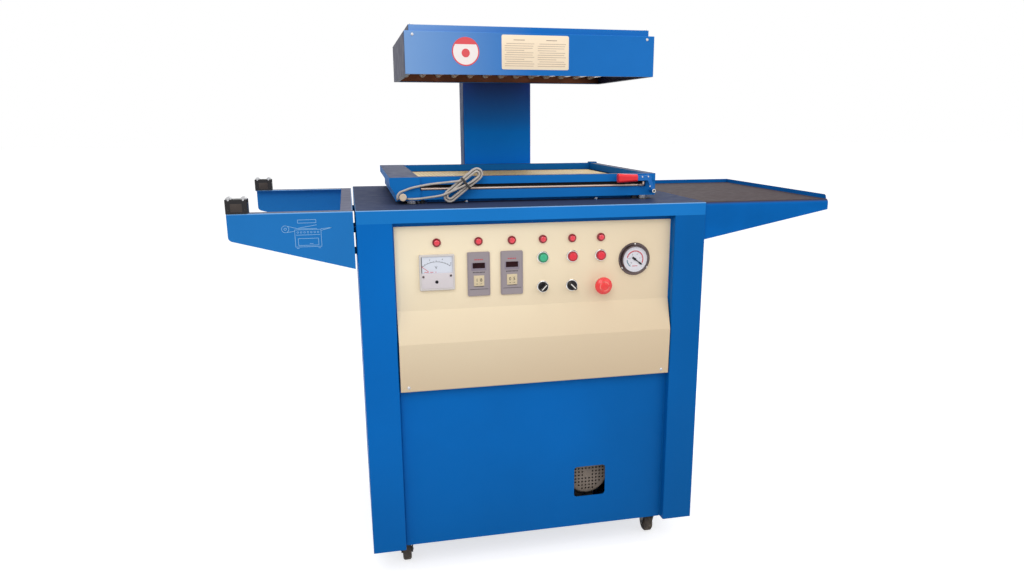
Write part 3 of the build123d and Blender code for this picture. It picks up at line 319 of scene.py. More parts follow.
BLUE = srgb(2, 106, 190)
EDGE_GLINT = PaintedLightLayer(srgb(150, 196, 238), 0.85, at(0, 0, -2.6).z, at(0, 0, -0.6).z, Reads.PLACE)
# Dark grey-blue on the table's upward faces: a painted reflection of dark surroundings.
TABLE_TOP_PAINTED_REFLECTION = PaintedLightLayer(srgb(46, 50, 78), 0.96, 0.75, 0.95)
# Grey-mauve on the film frame's upward faces: a painted reflection of dark surroundings.
FRAME_TOP_PAINTED_REFLECTION = PaintedLightLayer(srgb(58, 58, 80), 0.9, 0.75, 0.95)
# Brown on the tray's upward faces: a painted reflection of brown surroundings.
TRAY_FLOOR_PAINTED_REFLECTION = PaintedLightLayer(srgb(66, 52, 47), 0.97, 0.35, 0.9)
HEATER_SHADE = PaintedLightLayer(srgb(48, 44, 66), 0.96, -0.6, -0.9, axis="X")
HEATER_TOP = PaintedLightLayer(srgb(30, 112, 190), 0.9, 0.6, 0.9)
HEATER_BACK = PaintedLightLayer(srgb(30, 112, 190), 0.9, 0.6, 0.9, axis="Y")
# Dark navy on the heater's downward faces: painted shade.
HEATER_UNDERSIDE_PAINTED_SHADE = PaintedLightLayer(srgb(12, 18, 44), 0.9, -0.6, -0.9)
HEATER_GLARE = PaintedLightLayer(srgb(140, 176, 222), 0.8, at(30, 0, 0).x, at(-300, 0, 0).x, Reads.PLACE, "X")
# Navy-purple on the column's upper part, fading out downwards: painted shade of the heater above.
COLUMN_UPPER_PAINTED_SHADE = PaintedLightLayer(srgb(56, 62, 118), 0.9, at(0, 0, 150).z, at(0, 0, 290).z, Reads.PLACE)
# A brighter blue on the column's front faces: painted light that lifts them out of the heater's shade.
COLUMN_FRONT_PAINTED_LIGHT = PaintedLightLayer(srgb(8, 134, 244), 1.0, -0.6, -0.9, axis="Y")
COLUMN_BACK = PaintedLightLayer(srgb(2, 106, 190), 1.0, 0.3, 0.6, axis="Y")
# The column's right faces get the paint back, a little darker than the plain blue: painted shade.
COLUMN_RIGHT_PAINTED_SHADE = PaintedLightLayer(srgb(2, 100, 180), 1.0, 0.6, 0.9, axis="X")
COLUMN_TOP = PaintedLightLayer(srgb(2, 106, 190), 1.0, 0.6, 0.9)
# Dark navy on the column's left faces: painted shade.
COLUMN_LEFT_PAINTED_SHADE = PaintedLightLayer(srgb(30, 40, 70), 0.8, -0.6, -0.9, axis="X")
FRONT_SHADE = PaintedLightLayer(srgb(0, 84, 148), 0.6, at(60, 0, 0).x, at(360, 0, 0).x, Reads.PLACE, "X")
RIGHT_SHADE = PaintedLightLayer(srgb(0, 92, 170), 0.7, 0.6, 0.9, axis="X")
LOW_SHADE = PaintedLightLayer(srgb(6, 88, 152), 0.5, at(0, 0, -400).z, at(0, 0, -800).z, Reads.PLACE)
CREAM_SHADE = PaintedLightLayer(srgb(206, 182, 150), 0.8, at(0, 0, -130).z, at(0, 0, -410).z, Reads.PLACE)
# Darker cream towards the control panel's right end: painted shade.
CREAM_RIGHT_PAINTED_SHADE = PaintedLightLayer(srgb(226, 202, 168), 0.6, at(-120, 0, 0).x, at(330, 0, 0).x, Reads.PLACE, "X")

BLUE_PAINT = PaintWithPaintedLight("blue_gloss_paint", BLUE, roughness=0.42, specular=0.08, grain=0.05,
                         light_layers=(FRONT_SHADE, LOW_SHADE, RIGHT_SHADE))
TABLE_PAINT = PaintWithPaintedLight("table_blue_paint", srgb(30, 122, 200), roughness=0.6, specular=0.02, grain=0.04,
                          light_layers=(EDGE_GLINT, TABLE_TOP_PAINTED_REFLECTION))
# The grey-mauve layer on the roll plates' upward faces is a painted reflection of dark surroundings.
PLATE_PAINT = PaintWithPaintedLight("roll_plate_blue_paint", srgb(36, 118, 190), roughness=0.55, specular=0.05, grain=0.04,
                          light_layers=(EDGE_GLINT, PaintedLightLayer(srgb(88, 82, 98), 0.92, 0.75, 0.95)))
HEATER_PAINT = PaintWithPaintedLight("heater_blue_paint", srgb(30, 112, 190), roughness=0.45, specular=0.06, grain=0.05,
                           light_layers=(HEATER_GLARE, HEATER_SHADE, HEATER_UNDERSIDE_PAINTED_SHADE, HEATER_TOP, HEATER_BACK))
COLUMN_PAINT = PaintWithPaintedLight("column_blue_paint", srgb(2, 106, 190), roughness=0.45, specular=0.06, grain=0.05,
                           light_layers=(COLUMN_FRONT_PAINTED_LIGHT, COLUMN_UPPER_PAINTED_SHADE, COLUMN_LEFT_PAINTED_SHADE, COLUMN_BACK, COLUMN_RIGHT_PAINTED_SHADE, COLUMN_TOP))
FRAME_PAINT = PaintWithPaintedLight("film_frame_blue_paint", srgb(24, 114, 192), roughness=0.5, specular=0.04,
                          grain=0.05, light_layers=(FRAME_TOP_PAINTED_REFLECTION,))
LEVER_PAINT = Finish("lever_blue_paint", srgb(18, 112, 196), roughness=0.35, specular=0.3, grain=0.05)
TRAY_PAINT = PaintWithPaintedLight("tray_paint", srgb(8, 98, 176), roughness=0.55, specular=0.03, wander=0.1,
                         wander_scale=9, light_layers=(TRAY_FLOOR_PAINTED_REFLECTION,))
CREAM_PAINT = PaintWithPaintedLight("cream_satin_paint", srgb(255, 238, 206), roughness=0.5, specular=0.2, wander=0.02,
                          grain=0.04, light_layers=(CREAM_RIGHT_PAINTED_SHADE, CREAM_SHADE))
PLATFORM_PAINT = Perforated("perforated_platform_sheet", srgb(238, 206, 138), roughness=0.5, wander=0.08,
                            specular=0.2)
STEEL = Finish("turned_steel", srgb(190, 190, 192), roughness=0.32, metallic=1.0, wander_scale=60,
               grain_scale=240, grain=0.15, stretch=(1, 1, 14))
ROD_STEEL = Finish("drawn_steel_rod", srgb(206, 184, 172), roughness=0.34, metallic=0.8, wander_scale=40,
                   grain_scale=200, grain=0.1, stretch=(0.15, 2, 2))
CHROME = Finish("polished_chrome", srgb(222, 220, 218), roughness=0.14, metallic=1.0, wander=0.02,
                rough_wander=0.03)
DARK_CHROME = Finish("dark_chrome", srgb(98, 86, 86), roughness=0.22, metallic=1.0, wander=0.1, wander_scale=30)
BLACK_PLASTIC = Finish("black_moulded_plastic", srgb(26, 24, 26), roughness=0.45, specular=0.3, grain=0.25,
                       grain_scale=1400)
BLOCK_PANEL = Finish("block_recess_plastic", srgb(64, 56, 52), roughness=0.5, specular=0.25, wander=0.15,
                     wander_scale=60, grain=0.25, grain_scale=1200)
FORK_BLACK = Finish("black_fork_enamel", srgb(22, 21, 24), roughness=0.35, specular=0.35, grain=0.1)
METER_CASE = Finish("pale_meter_case", srgb(214, 208, 204), roughness=0.35, specular=0.35, grain=0.1)
METER_CARD = Finish("white_scale_card", srgb(222, 226, 236), roughness=0.4, coat=0.3, wander=0.03)
METER_COVER = Finish("pale_mauve_meter_cover", srgb(220, 212, 214), roughness=0.4, specular=0.3, wander=0.03)
TIMER_PLASTIC = Finish("mauve_grey_timer_face", srgb(158, 148, 152), roughness=0.45, specular=0.25, grain=0.15,
                       grain_scale=1400)
TIMER_FIELD = Finish("timer_field_print", srgb(146, 136, 148), roughness=0.5, specular=0.2, wander=0.04)
WHITE_PLASTIC = Finish("white_cap_plastic", srgb(232, 228, 220), roughness=0.35, grain=0.1)
HINGE_BEIGE = Finish("beige_hinge_cap", srgb(228, 208, 182), roughness=0.4, specular=0.3, grain=0.15)
DIAL_WHITE = Finish("white_dial_enamel", srgb(226, 224, 230), roughness=0.5, coat=0.2, specular=0.3, wander=0.03,
                    wander_scale=20)
RED_PLASTIC = Finish("red_button_skirt", srgb(176, 16, 34), roughness=0.3, coat=0.2, grain=0.05)
BUTTON_RED = Finish("red_button_face", srgb(230, 30, 54), roughness=0.3, coat=0.2, grain=0.05, wander=0.08,
                    wander_scale=120)
ESTOP_RED = Finish("stop_head_red", srgb(240, 52, 50), roughness=0.32, coat=0.2, grain=0.05, wander=0.08,
                   wander_scale=60)
ESTOP_PALE = Finish("stop_head_arrow_print", srgb(252, 132, 120), roughness=0.4, grain=0.05)
# The darker red layer on the grip's downward faces is painted shade.
GRIP_RED = PaintWithPaintedLight("red_grip_plastic", srgb(238, 44, 54), roughness=0.36, specular=0.35, grain=0.2,
                       grain_scale=900, light_layers=(PaintedLightLayer(srgb(150, 20, 30), 0.8, -0.3, -0.9),))
GREEN_PLASTIC = Finish("green_button_skirt", srgb(18, 124, 82), roughness=0.3, coat=0.2, grain=0.05)
BUTTON_GREEN = Finish("green_button_face", srgb(52, 184, 134), roughness=0.3, coat=0.2, grain=0.05, wander=0.06,
                      wander_scale=120)
LAMP_SKIRT = Finish("dark_red_lamp_rim", srgb(140, 6, 24), roughness=0.25, coat=0.3, grain=0.03)
LENS_RED = Finish("red_lamp_lens", srgb(238, 44, 66), roughness=0.15, coat=0.5, grain=0.02, wander=0.12,
                  wander_scale=220)
RUBBER = Finish("black_seal_rubber", srgb(26, 25, 26), roughness=0.75, specular=0.2, grain=0.35)
TYRE = Trodden("grey_tyre_rubber", srgb(86, 78, 70), roughness=0.7, specular=0.2, grain=0.3,
               dust=srgb(116, 104, 90))
MIRROR = Finish("warm_reflector_sheet", srgb(104, 62, 42), roughness=0.4, metallic=0.85, wander=0.4,
                wander_scale=14, grain=0.2, grain_scale=60)
QUARTZ = Finish("clear_quartz_tube", srgb(214, 196, 178), roughness=0.15, coat=0.5, specular=0.6, wander=0.06)
CERAMIC = Finish("white_ceramic_cap", srgb(176, 166, 158), roughness=0.6, grain=0.2, grain_scale=500)
PUMP_PAINT = Finish("grey_pump_paint", srgb(134, 122, 112), roughness=0.55, specular=0.25, wander=0.1,
                    wander_scale=26, grain=0.3, grain_scale=420)
CORD_SKIN = Finish("grey_cord_cover", srgb(184, 176, 168), roughness=0.5, specular=0.3, wander=0.1,
                   wander_scale=120, grain=0.4, grain_scale=900, grain_depth=0.0008)
TIE_BLACK = Finish("black_tie", srgb(40, 38, 38), roughness=0.5, grain=0.3)
INK = Finish("black_print", srgb(34, 32, 38), roughness=0.7, specular=0.2, wander=0.1)
FAINT_INK = Finish("grey_brown_print", srgb(164, 142, 124), roughness=0.7, specular=0.2, wander=0.1)
PALE_INK = Finish("pale_blue_line_print", srgb(150, 192, 224), roughness=0.6, specular=0.2, wander=0.06)
RED_INK = Finish("red_print", srgb(208, 56, 72), roughness=0.6, specular=0.2, wander=0.06)
STICKER_RED = Finish("sticker_red_print", srgb(222, 74, 82), roughness=0.5, coat=0.2, wander=0.05)
STICKER_WHITE = Finish("sticker_white_film", srgb(246, 236, 232), roughness=0.4, coat=0.2, wander=0.02)
GREEN_INK = Finish("blue_green_print", srgb(40, 120, 136), roughness=0.6, specular=0.2, wander=0.06)
LABEL = Finish("cream_notice_plate", srgb(248, 228, 198), roughness=0.4, coat=0.2, wander=0.03)
DISPLAY = Finish("dark_red_display_window", srgb(38, 8, 14), roughness=0.25, specular=0.12, wander=0.5,
                 wander_scale=160)
BEIGE = Finish("beige_thumbwheels", srgb(222, 204, 168), roughness=0.45, grain=0.15)
FLOOR_WHITE = Finish("pale_studio_floor", srgb(206, 206, 208), roughness=0.9, specular=0.05, wander=0.01)

NODE_FINISHES: dict[Finish, tuple[str, ...]] = {
    BLUE_PAINT: ("side_panel_left", "side_panel_right", "back_panel", "base_pan", "front_rail",
                 "lower_front_panel", "vacuum_box"),
    TABLE_PAINT: ("table_top",),
    PLATE_PAINT: ("roll_plate_front", "roll_plate_rear", "roll_plate_end"),
    COLUMN_PAINT: ("column", "heater_arm"),
    HEATER_PAINT: ("heater_housing", "heater_lid"),
    FRAME_PAINT: ("lower_frame", "upper_frame", "hinge_ears"),
    LEVER_PAINT: ("clamp_lever",),
    TRAY_PAINT: ("tray_pan",),
    CREAM_PAINT: ("control_panel",),
    PLATFORM_PAINT: ("platform_plate",),
    CHROME: ("control_bezels", "lift_rods"),
    DARK_CHROME: ("vacuum_gauge",),
    STEEL: ("caster_plates", "film_roller_front_inner", "film_roller_front_outer", "film_roller_rear_inner",
            "film_roller_rear_outer"),
    ROD_STEEL: ("cutter_rod",),
    BLACK_PLASTIC: ("guide_bushes", "roller_blocks", "selector_left", "selector_right"),
    FORK_BLACK: ("caster_fork_front_left", "caster_fork_front_right", "caster_fork_rear_left",
                 "caster_fork_rear_right"),
    TYRE: ("caster_wheel_front_left", "caster_wheel_front_right", "caster_wheel_rear_left",
           "caster_wheel_rear_right"),
    METER_CASE: ("voltmeter",),
    TIMER_PLASTIC: ("timers",),
    HINGE_BEIGE: ("hinge_caps",),
    RED_PLASTIC: ("stop_button", "heat_button"),
    ESTOP_RED: ("estop_head",),
    LAMP_SKIRT: ("indicator_lamps",),
    GRIP_RED: ("clamp_grip",),
    GREEN_PLASTIC: ("start_button",),
    RUBBER: ("frame_seal",),
    MIRROR: ("heater_reflector",),
    QUARTZ: ("heater_tubes",),
    PUMP_PAINT: ("fan_cover", "vacuum_pump"),
}


# Mesh tools


def finish_mesh(name: str, shape: bmesh.types.BMesh, finish: Finish, body: str,
                sharp: float = 35.0) -> bpy.types.Object:
    """Turns a bmesh into a finished piece that rides on a body.

    Args:
        name: the piece's name.
        shape: the bmesh, which is freed.
        finish: the piece's finish.
        body: the body it moves with.
        sharp: edges that turn by more degrees than this stay sharp.

    Returns:
        The piece.
    """
    limit = math.radians(sharp)
    for face in shape.faces:
        face.smooth = True
    for edge in shape.edges:
        edge.smooth = len(edge.link_faces) == 2 and edge.calc_face_angle(math.pi) < limit
    mesh = bpy.data.meshes.new(name)
    shape.to_mesh(mesh)
    shape.free()
    piece = bpy.data.objects.new(name, mesh)
    bpy.context.scene.collection.objects.link(piece)
    mesh.materials.append(finish.material())
    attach(piece, body)
    LOG.info("piece %s rides on %s", name, body)
    return piece


def merged(shapes: Iterable[bmesh.types.BMesh]) -> bmesh.types.BMesh:
    """Several bmeshes as one; the given ones are freed."""
    whole = bmesh.new()
    for shape in shapes:
        passing = bpy.data.meshes.new("passing")
        shape.to_mesh(passing)
        shape.free()
        whole.from_mesh(passing)
        bpy.data.meshes.remove(passing)
    return whole


def lathe(profile: Sequence[tuple[float, float]], axis: Axis, centre: Vector, steps: int = 48) -> bmesh.types.BMesh:
    """A turned solid.

    Args:
        profile: radius and distance along the axis, in millimetres, from one end to the other.
        axis: the way the middle line points.
        centre: where the profile's zero distance is.
        steps: facets round the piece.

    Returns:
        The closed bmesh, in place.
    """
    shape = bmesh.new()
    points = [shape.verts.new((radius * MM, 0.0, along * MM)) for radius, along in profile]
    for first, second in zip(points, points[1:]):
        shape.edges.new((first, second))
    bmesh.ops.spin(shape, geom=shape.verts[:] + shape.edges[:], cent=(0, 0, 0), axis=(0, 0, 1),
                   angle=math.tau, steps=steps, use_merge=True)
    bmesh.ops.remove_doubles(shape, verts=shape.verts[:], dist=1e-6)
    turns = {
        Axis.X: Matrix.Rotation(math.pi / 2, 4, "Y"),
        Axis.Y: Matrix.Rotation(-math.pi / 2, 4, "X"),
        Axis.Z: Matrix.Identity(4),
    }
    bmesh.ops.transform(shape, matrix=Matrix.Translation(centre) @ turns[axis], verts=shape.verts[:])
    bmesh.ops.recalc_face_normals(shape, faces=shape.faces[:])
    return shape


def rounded_block(low: Vector, high: Vector, corner: float, edge: float, along: Axis = Axis.Y) -> bmesh.types.BMesh:
    """A block with rounded corners round one axis and softened edges.

    Args:
        low: its lowest corner, in the row frame.
        high: its highest corner.
        corner: the radius of the four corners, in millimetres.
        edge: the radius of the other edges, in millimetres.
        along: the axis the corners run along.

    Returns:
        The closed bmesh, in place.
    """
    shape = bmesh.new()
    bmesh.ops.create_cube(shape, size=1.0)
    size = high - low
    bmesh.ops.transform(shape, matrix=Matrix.Translation((low + high) / 2) @ Matrix.Diagonal((*size, 1)),
                        verts=shape.verts[:])
    index = "xyz".index(along.value)

    def runs_along(line: bmesh.types.BMEdge) -> bool:
        """True for an edge that runs along the axis."""
        way = line.verts[1].co - line.verts[0].co
        return abs(way[index]) > 0.9 * way.length

    corners = [line for line in shape.edges if runs_along(line)]
    if corner > 0:
        bmesh.ops.bevel(shape, geom=corners, offset=corner * MM, segments=5, profile=0.5,
                        affect="EDGES", material=-1)
    if edge > 0:
        rims = [line for line in shape.edges if not runs_along(line) and line.calc_face_angle(0) > 1.0]
        bmesh.ops.bevel(shape, geom=rims, offset=edge * MM, segments=2, profile=0.5, affect="EDGES", material=-1)
    return shape


def strip(start: Vector, end: Vector, width: float, thick: float, facing: Vector) -> bmesh.types.BMesh:
    """A thin flat bar between two points, as a printed line or a needle is.

    Args:
        start: its first end.
        end: its other end.
        width: its width in millimetres.
        thick: its thickness in millimetres.
        facing: the way its broad face looks.

    Returns:
        The closed bmesh, with its back on the two points.
    """
    shape = bmesh.new()
    bmesh.ops.create_cube(shape, size=1.0)
    way = end - start
    across = facing.cross(way).normalized()
    turn = Matrix((way.normalized(), across, facing)).transposed().to_4x4()
    size = Matrix.Diagonal((way.length, width * MM, thick * MM, 1))
    middle = (start + end) / 2 + facing * (thick * MM / 2)
    bmesh.ops.transform(shape, matrix=Matrix.Translation(middle) @ turn @ size, verts=shape.verts[:])
    return shape


def arc_strips(centre: Vector, radius: float, start: float, end: float, width: float, thick: float,
               steps: int = 20) -> bmesh.types.BMesh:
    """A flat arc on a face that looks to the front.

    Args:
        centre: the arc's middle.
        radius: its radius in millimetres.
        start: its first angle in degrees, from the right, anticlockwise as seen.
        end: its last angle.
        width: the width of the line in millimetres.
        thick: how far it stands proud.
        steps: how many pieces it is cut into.

    Returns:
        The closed bmesh.
    """
    shape = bmesh.new()
    half = width / 2
    ring = [(radius - half, 0), (radius + half, 0), (radius + half, -thick), (radius - half, -thick)]
    corners = [shape.verts.new((r * MM, y * MM, 0.0)) for r, y in ring]
    shape.faces.new(corners)
    sweep = math.radians(end - start)
    bmesh.ops.spin(shape, geom=shape.faces[:], cent=(0, 0, 0), axis=(0, -1, 0), angle=sweep, steps=steps)
    turn = Matrix.Rotation(math.radians(-start), 4, "Y")
    bmesh.ops.transform(shape, matrix=Matrix.Translation(centre) @ turn, verts=shape.verts[:])
    bmesh.ops.recalc_face_normals(shape, faces=shape.faces[:])
    return shape


def lettering(text: str, centre: Vector, height: float, thick: float = 0.25) -> bmesh.types.BMesh:
    """Plain figures standing on a face that looks to the front.

    Args:
        text: the figures.
        centre: their middle.
        height: their height in millimetres.
        thick: how far they stand proud, in millimetres.

    Returns:
        The bmesh, in place.
    """
    curve = bpy.data.curves.new("figures", "FONT")
    curve.body = text
    curve.size = 1.0
    curve.align_x = "CENTER"
    curve.align_y = "CENTER"
    curve.resolution_u = 2
    curve.extrude = thick / height / 2
    holder = bpy.data.objects.new("figures", curve)
    bpy.context.scene.collection.objects.link(holder)
    bpy.context.view_layer.update()
    mesh = bpy.data.meshes.new_from_object(holder)
    shape = bmesh.new()
    shape.from_mesh(mesh)
    scale = height * MM * 1.35
    place = Matrix.Translation(centre) @ Matrix.Rotation(math.pi / 2, 4, "X") @ Matrix.Scale(scale, 4)
    bmesh.ops.transform(shape, matrix=place, verts=shape.verts[:])
    bpy.data.objects.remove(holder)
    bpy.data.meshes.remove(mesh)
    return shape


def screw_head(centre: Vector, radius: float, axis: Axis, outward: float, height: float = 1.4) -> bmesh.types.BMesh:
    """A domed screw head with a sunk middle.

    Args:
        centre: its middle, on the face it sits on.
        radius: its radius in millimetres.
        axis: the way it points.
        outward: 1 or -1, the way it stands along that axis.
        height: how far it stands proud, in millimetres.

    Returns:
        The closed bmesh.
    """
    rise = height * outward
    profile = ((0.0, 0.0), (radius, 0.0), (radius, rise * 0.45), (radius * 0.8, rise * 0.85),
               (radius * 0.42, rise), (radius * 0.3, rise * 0.45), (0.0, rise * 0.4))
    return lathe(profile, axis, centre, 20)


FRONT = Vector((0, -1, 0))


# The free cord


@dataclass
class FilmCord:
    """The thin cord on the front of the film frame, folded into a tied hank."""

    diameter: float = 5.0
    length: float = 1.252
    upper: tuple[Point, ...] = (
        (-305.0, 106.0, 12.0),
        (-305.0, 98.5, 12.0),
        (-305.6, 97.5, 21.0),
        (-299.0, 97.5, 29.0),
        (-288.0, 97.5, 32.5),
        (-276.0, 98.0, 37.0),
        (-254.0, 98.5, 41.5),
        (-228.0, 98.5, 45.6),
        (-199.0, 97.0, 48.3),
        (-180.0, 91.5, 50.4),
    )
    lower: tuple[Point, ...] = (
        (-157.0, 85.8, 41.0),
        (-183.0, 86.0, 29.5),
        (-205.0, 88.5, 20.6),
        (-220.0, 93.5, 17.7),
        (-236.0, 96.0, 15.6),
        (-256.0, 96.5, 13.2),
        (-272.0, 97.0, 12.9),
        (-281.0, 98.5, 12.5),
        (-281.0, 106.0, 12.5),
    )
    hank_low: Point = (-202.0, 94.0, 7.0)
    hank_high: Point = (-112.5, 94.0, 77.5)
    outer_half: tuple[float, float] = (52.0, 12.3)
    inner_half: tuple[float, float] = (45.5, 6.6)
    outer_turns: float = 2.0
    inner_turns: float = 2.4
    points_a_turn: int = 36
    front_y: float = 88.9
    layer: float = 5.3
    tie_place: float = 7.0

    def _hank_axes(self) -> tuple[Vector, Vector, Vector]:
        """The hank's middle and its two directions, in table millimetres."""
        low, high = Vector(self.hank_low), Vector(self.hank_high)
        along = (high - low).normalized()
        across = Vector((-along.z, 0.0, along.x))
        return (low + high) / 2, along, across

    def _oval(self, half: tuple[float, float], turn: float, y: float, wobble: float) -> Point:
        """One point of a turn.

        Args:
            half: half the oval's length and width.
            turn: how far round, in whole turns.
            y: how deep it lies.
            wobble: a small change of the length, in millimetres.

        Returns:
            The point, in table millimetres.
        """
        middle, along, across = self._hank_axes()
        radius = half[1]
        straight = half[0] + wobble - radius
        way = 1.0 if turn % 1.0 < 0.25 or turn % 1.0 >= 0.75 else -1.0
        gone = ((turn + 0.25) % 0.5 - 0.25) * (4 * straight + math.tau * radius)
        bend = max(0.0, abs(gone) - straight) / radius
        run = math.copysign(min(abs(gone), straight) + radius * math.sin(bend), gone) * way
        side = radius * math.cos(bend) * way
        place = middle + along * run + across * side
        return place.x, y, place.z

    def _turns(self) -> list[Point]:
        """The hank's turns: outer ones from front to back, then inner ones back to the front."""
        count = int((self.outer_turns + self.inner_turns) * self.points_a_turn)
        back = self.front_y + self.layer * self.outer_turns
        made = []
        for step in range(count + 1):
            share = step / self.points_a_turn
            blend = min(1.0, max(0.0, (share - self.outer_turns + 0.5) / 1.0))
            blend = blend * blend * (3 - 2 * blend)
            half = tuple(outer + (inner - outer) * blend for outer, inner in zip(self.outer_half, self.inner_half))
            depth = self.front_y + self.layer * share
            if share > self.outer_turns:
                depth = 2 * back - depth
            made.append(self._oval(half, share, depth, 1.0 * math.sin(5.0 * share)))
        return made

    def _line(self) -> list[Vector]:
        """The whole route in the row frame."""
        return [at(*point) for point in (*self.upper, *self._turns(), *self.lower)]

    def build(self) -> None:
        curve = bpy.data.curves.new("film_cord", "CURVE")
        curve.dimensions = "3D"
        curve.bevel_depth = self.diameter * MM / 2
        curve.bevel_resolution = 4
        curve.resolution_u = 6
        curve.use_fill_caps = True
        line = self._line()
        spline = curve.splines.new("NURBS")
        spline.points.add(len(line) - 1)
        for point, place in zip(spline.points, line):
            point.co = (*place, 1.0)
        spline.order_u = 3
        spline.use_endpoint_u = True
        curve.materials.append(CORD_SKIN.material())
        cord = bpy.data.objects.new("film_cord", curve)
        bpy.context.scene.collection.objects.link(cord)
        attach(cord, "top_frame")
        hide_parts("cord_upper", "cord_lower", "cord_hank")
        tie = self._tie()
        LOG.info("piece film_cord rides on top_frame")

    def _tie(self) -> bpy.types.Object:
        """The flat band round the hank's middle."""
        middle, along, across = self._hank_axes()
        centre = middle + along * self.tie_place
        centre.y = self.front_y + self.layer * self.outer_turns / 2 - 1.6
        half_width, half_depth, band, wall = 15.8, 9.6, 5.0, 1.2
        shape = bmesh.new()
        bmesh.ops.create_cube(shape, size=1.0)
        size = Matrix.Diagonal((band * MM, 2 * half_depth * MM, 2 * half_width * MM, 1))
        turn = Matrix((along, Vector((0, 1, 0)), -across)).transposed().to_4x4()
        bmesh.ops.transform(shape, matrix=size, verts=shape.verts[:])
        ends = [f for f in shape.faces if abs(f.normal.x) > 0.9]
        bmesh.ops.delete(shape, geom=ends, context="FACES_ONLY")
        corners = [e for e in shape.edges if len(e.link_faces) == 2]
        bmesh.ops.bevel(shape, geom=corners, offset=4.5 * MM, segments=6, profile=0.5, affect="EDGES", material=-1)
        bmesh.ops.recalc_face_normals(shape, faces=shape.faces[:])
        bmesh.ops.solidify(shape, geom=shape.faces[:], thickness=wall * MM)
        bmesh.ops.transform(shape, matrix=Matrix.Translation(at(*centre)) @ turn, verts=shape.verts[:])
        bmesh.ops.recalc_face_normals(shape, faces=shape.faces[:])
        return finish_mesh("film_cord_tie", shape, TIE_BLACK, "top_frame", 60.0)


# The control panel


@dataclass
class IndicatorLamps:
    """The bright lenses in the row of six lamps."""

    xs: tuple[float, ...] = (-229.0, -136.0, -60.0, 12.0, 81.0, 150.0)
    z: float = -76.0
    face_y: float = 14.0
    profile: tuple[tuple[float, float], ...] = (
        (0.0, -1.3), (2.8, -1.15), (4.8, -0.75), (6.0, -0.1), (6.0, 0.6), (0.0, 0.6),
    )

    def build(self) -> None:
        """Makes the six lenses as one piece."""
        lenses = merged(lathe(self.profile, Axis.Y, at(x, self.face_y, self.z), 32) for x in self.xs)
        finish_mesh("lamp_lenses", lenses, LENS_RED, "machine")


@dataclass
class Voltmeter:
    """The card, the cover, the scale and the needle of the square meter."""

    x: float = -230.0
    z: float = -142.0
    half_w: float = 34.8
    pocket_y: float = 16.0
    card_y: float = 15.5
    cover_y: float = 12.6
    split_z: float = -143.5
    top_z: float = -106.2
    foot_z: float = -177.8
    pivot: tuple[float, float] = (-231.5, -168.0)
    scale_radius: float = 50.0
    scale_angles: tuple[float, float] = (53.0, 127.0)
    divisions: int = 10
    screws: tuple[tuple[float, float], ...] = ((-261.0, -150.5), (-200.0, -149.5))
    knob: tuple[float, float] = (-231.5, -163.0)

    def _on_scale(self, angle: float, radius: float) -> Vector:
        """A place on the card.

        Args:
            angle: degrees from the right, anticlockwise as seen.
            radius: millimetres from the needle's pivot.

        Returns:
            The place.
        """
        turn = math.radians(angle)
        return at(self.pivot[0] + radius * math.cos(turn), self.card_y, self.pivot[1] + radius * math.sin(turn))

    def _scale(self) -> bmesh.types.BMesh:
        """The scale's line, its marks and its figures."""
        first, last = self.scale_angles
        centre = at(self.pivot[0], self.card_y, self.pivot[1])
        marks = [arc_strips(centre, self.scale_radius, first, last, 0.7, 0.2, 24)]
        for step in range(self.divisions + 1):
            angle = first + (last - first) * step / self.divisions
            tall = 4.2 if step % 5 == 0 else 2.2
            marks.append(strip(self._on_scale(angle, self.scale_radius),
                               self._on_scale(angle, self.scale_radius + tall), 0.6, 0.2, FRONT))
        for text, angle in (("0", last - 1.0), ("2", 105.0), ("4", 76.0), ("6", first + 2.0)):
            marks.append(lettering(text, self._on_scale(angle, self.scale_radius + 6.4), 3.4))
        marks.append(lettering("V", at(self.x - 2.0, self.card_y, self.z + 11.0), 7.0))
        return merged(marks)

    def build(self) -> None:
        """Makes the meter's loose pieces."""
        card = rounded_block(at(self.x - self.half_w, self.card_y, self.split_z),
                             at(self.x + self.half_w, self.pocket_y, self.top_z), 0.8, 0.1)
        finish_mesh("meter_card", card, METER_CARD, "machine")
        cover = rounded_block(at(self.x - self.half_w, self.cover_y, self.foot_z),
                              at(self.x + self.half_w, self.pocket_y, self.split_z), 1.0, 0.5)
        finish_mesh("meter_cover", cover, METER_COVER, "machine")
        # A dark strip down the card's left edge: a painted shadow of the pocket's left wall.
        edge = strip(at(self.x - 33.9, self.card_y, self.split_z + 1.0),
                     at(self.x - 33.9, self.card_y, self.top_z - 0.6), 1.5, 0.2, FRONT)
        finish_mesh("meter_scale", merged((self._scale(), edge)), INK, "machine")
        needle = strip(self._on_scale(129.0, 52.0), at(self.x - 19.0, self.card_y, self.z + 2.5), 0.9, 0.4, FRONT)
        red = [needle]
        for x, width in ((-258.0, 9.0), (-246.0, 8.0), (-234.0, 2.5)):
            red.append(strip(at(x, self.card_y, -141.0), at(x + width, self.card_y, -141.0), 1.0, 0.2, FRONT))
        finish_mesh("meter_red_marks", merged(red), RED_INK, "machine")
        heads = merged(screw_head(at(x, self.cover_y, z), 2.6, Axis.Y, -1.0) for x, z in self.screws)
        finish_mesh("meter_screws", heads, DARK_CHROME, "machine")
        knob = lathe(((0.0, -1.6), (2.9, -1.4), (3.6, -0.7), (3.8, 0.3), (0.0, 0.3)), Axis.Y,
                     at(self.knob[0], self.cover_y, self.knob[1]), 24)
        slot_cut = strip(at(self.knob[0] - 2.6, self.cover_y - 1.5, self.knob[1]),
                         at(self.knob[0] + 2.6, self.cover_y - 1.5, self.knob[1]), 0.9, 0.35, FRONT)
        finish_mesh("meter_zero_knob", merged((knob, slot_cut)), INK, "machine")


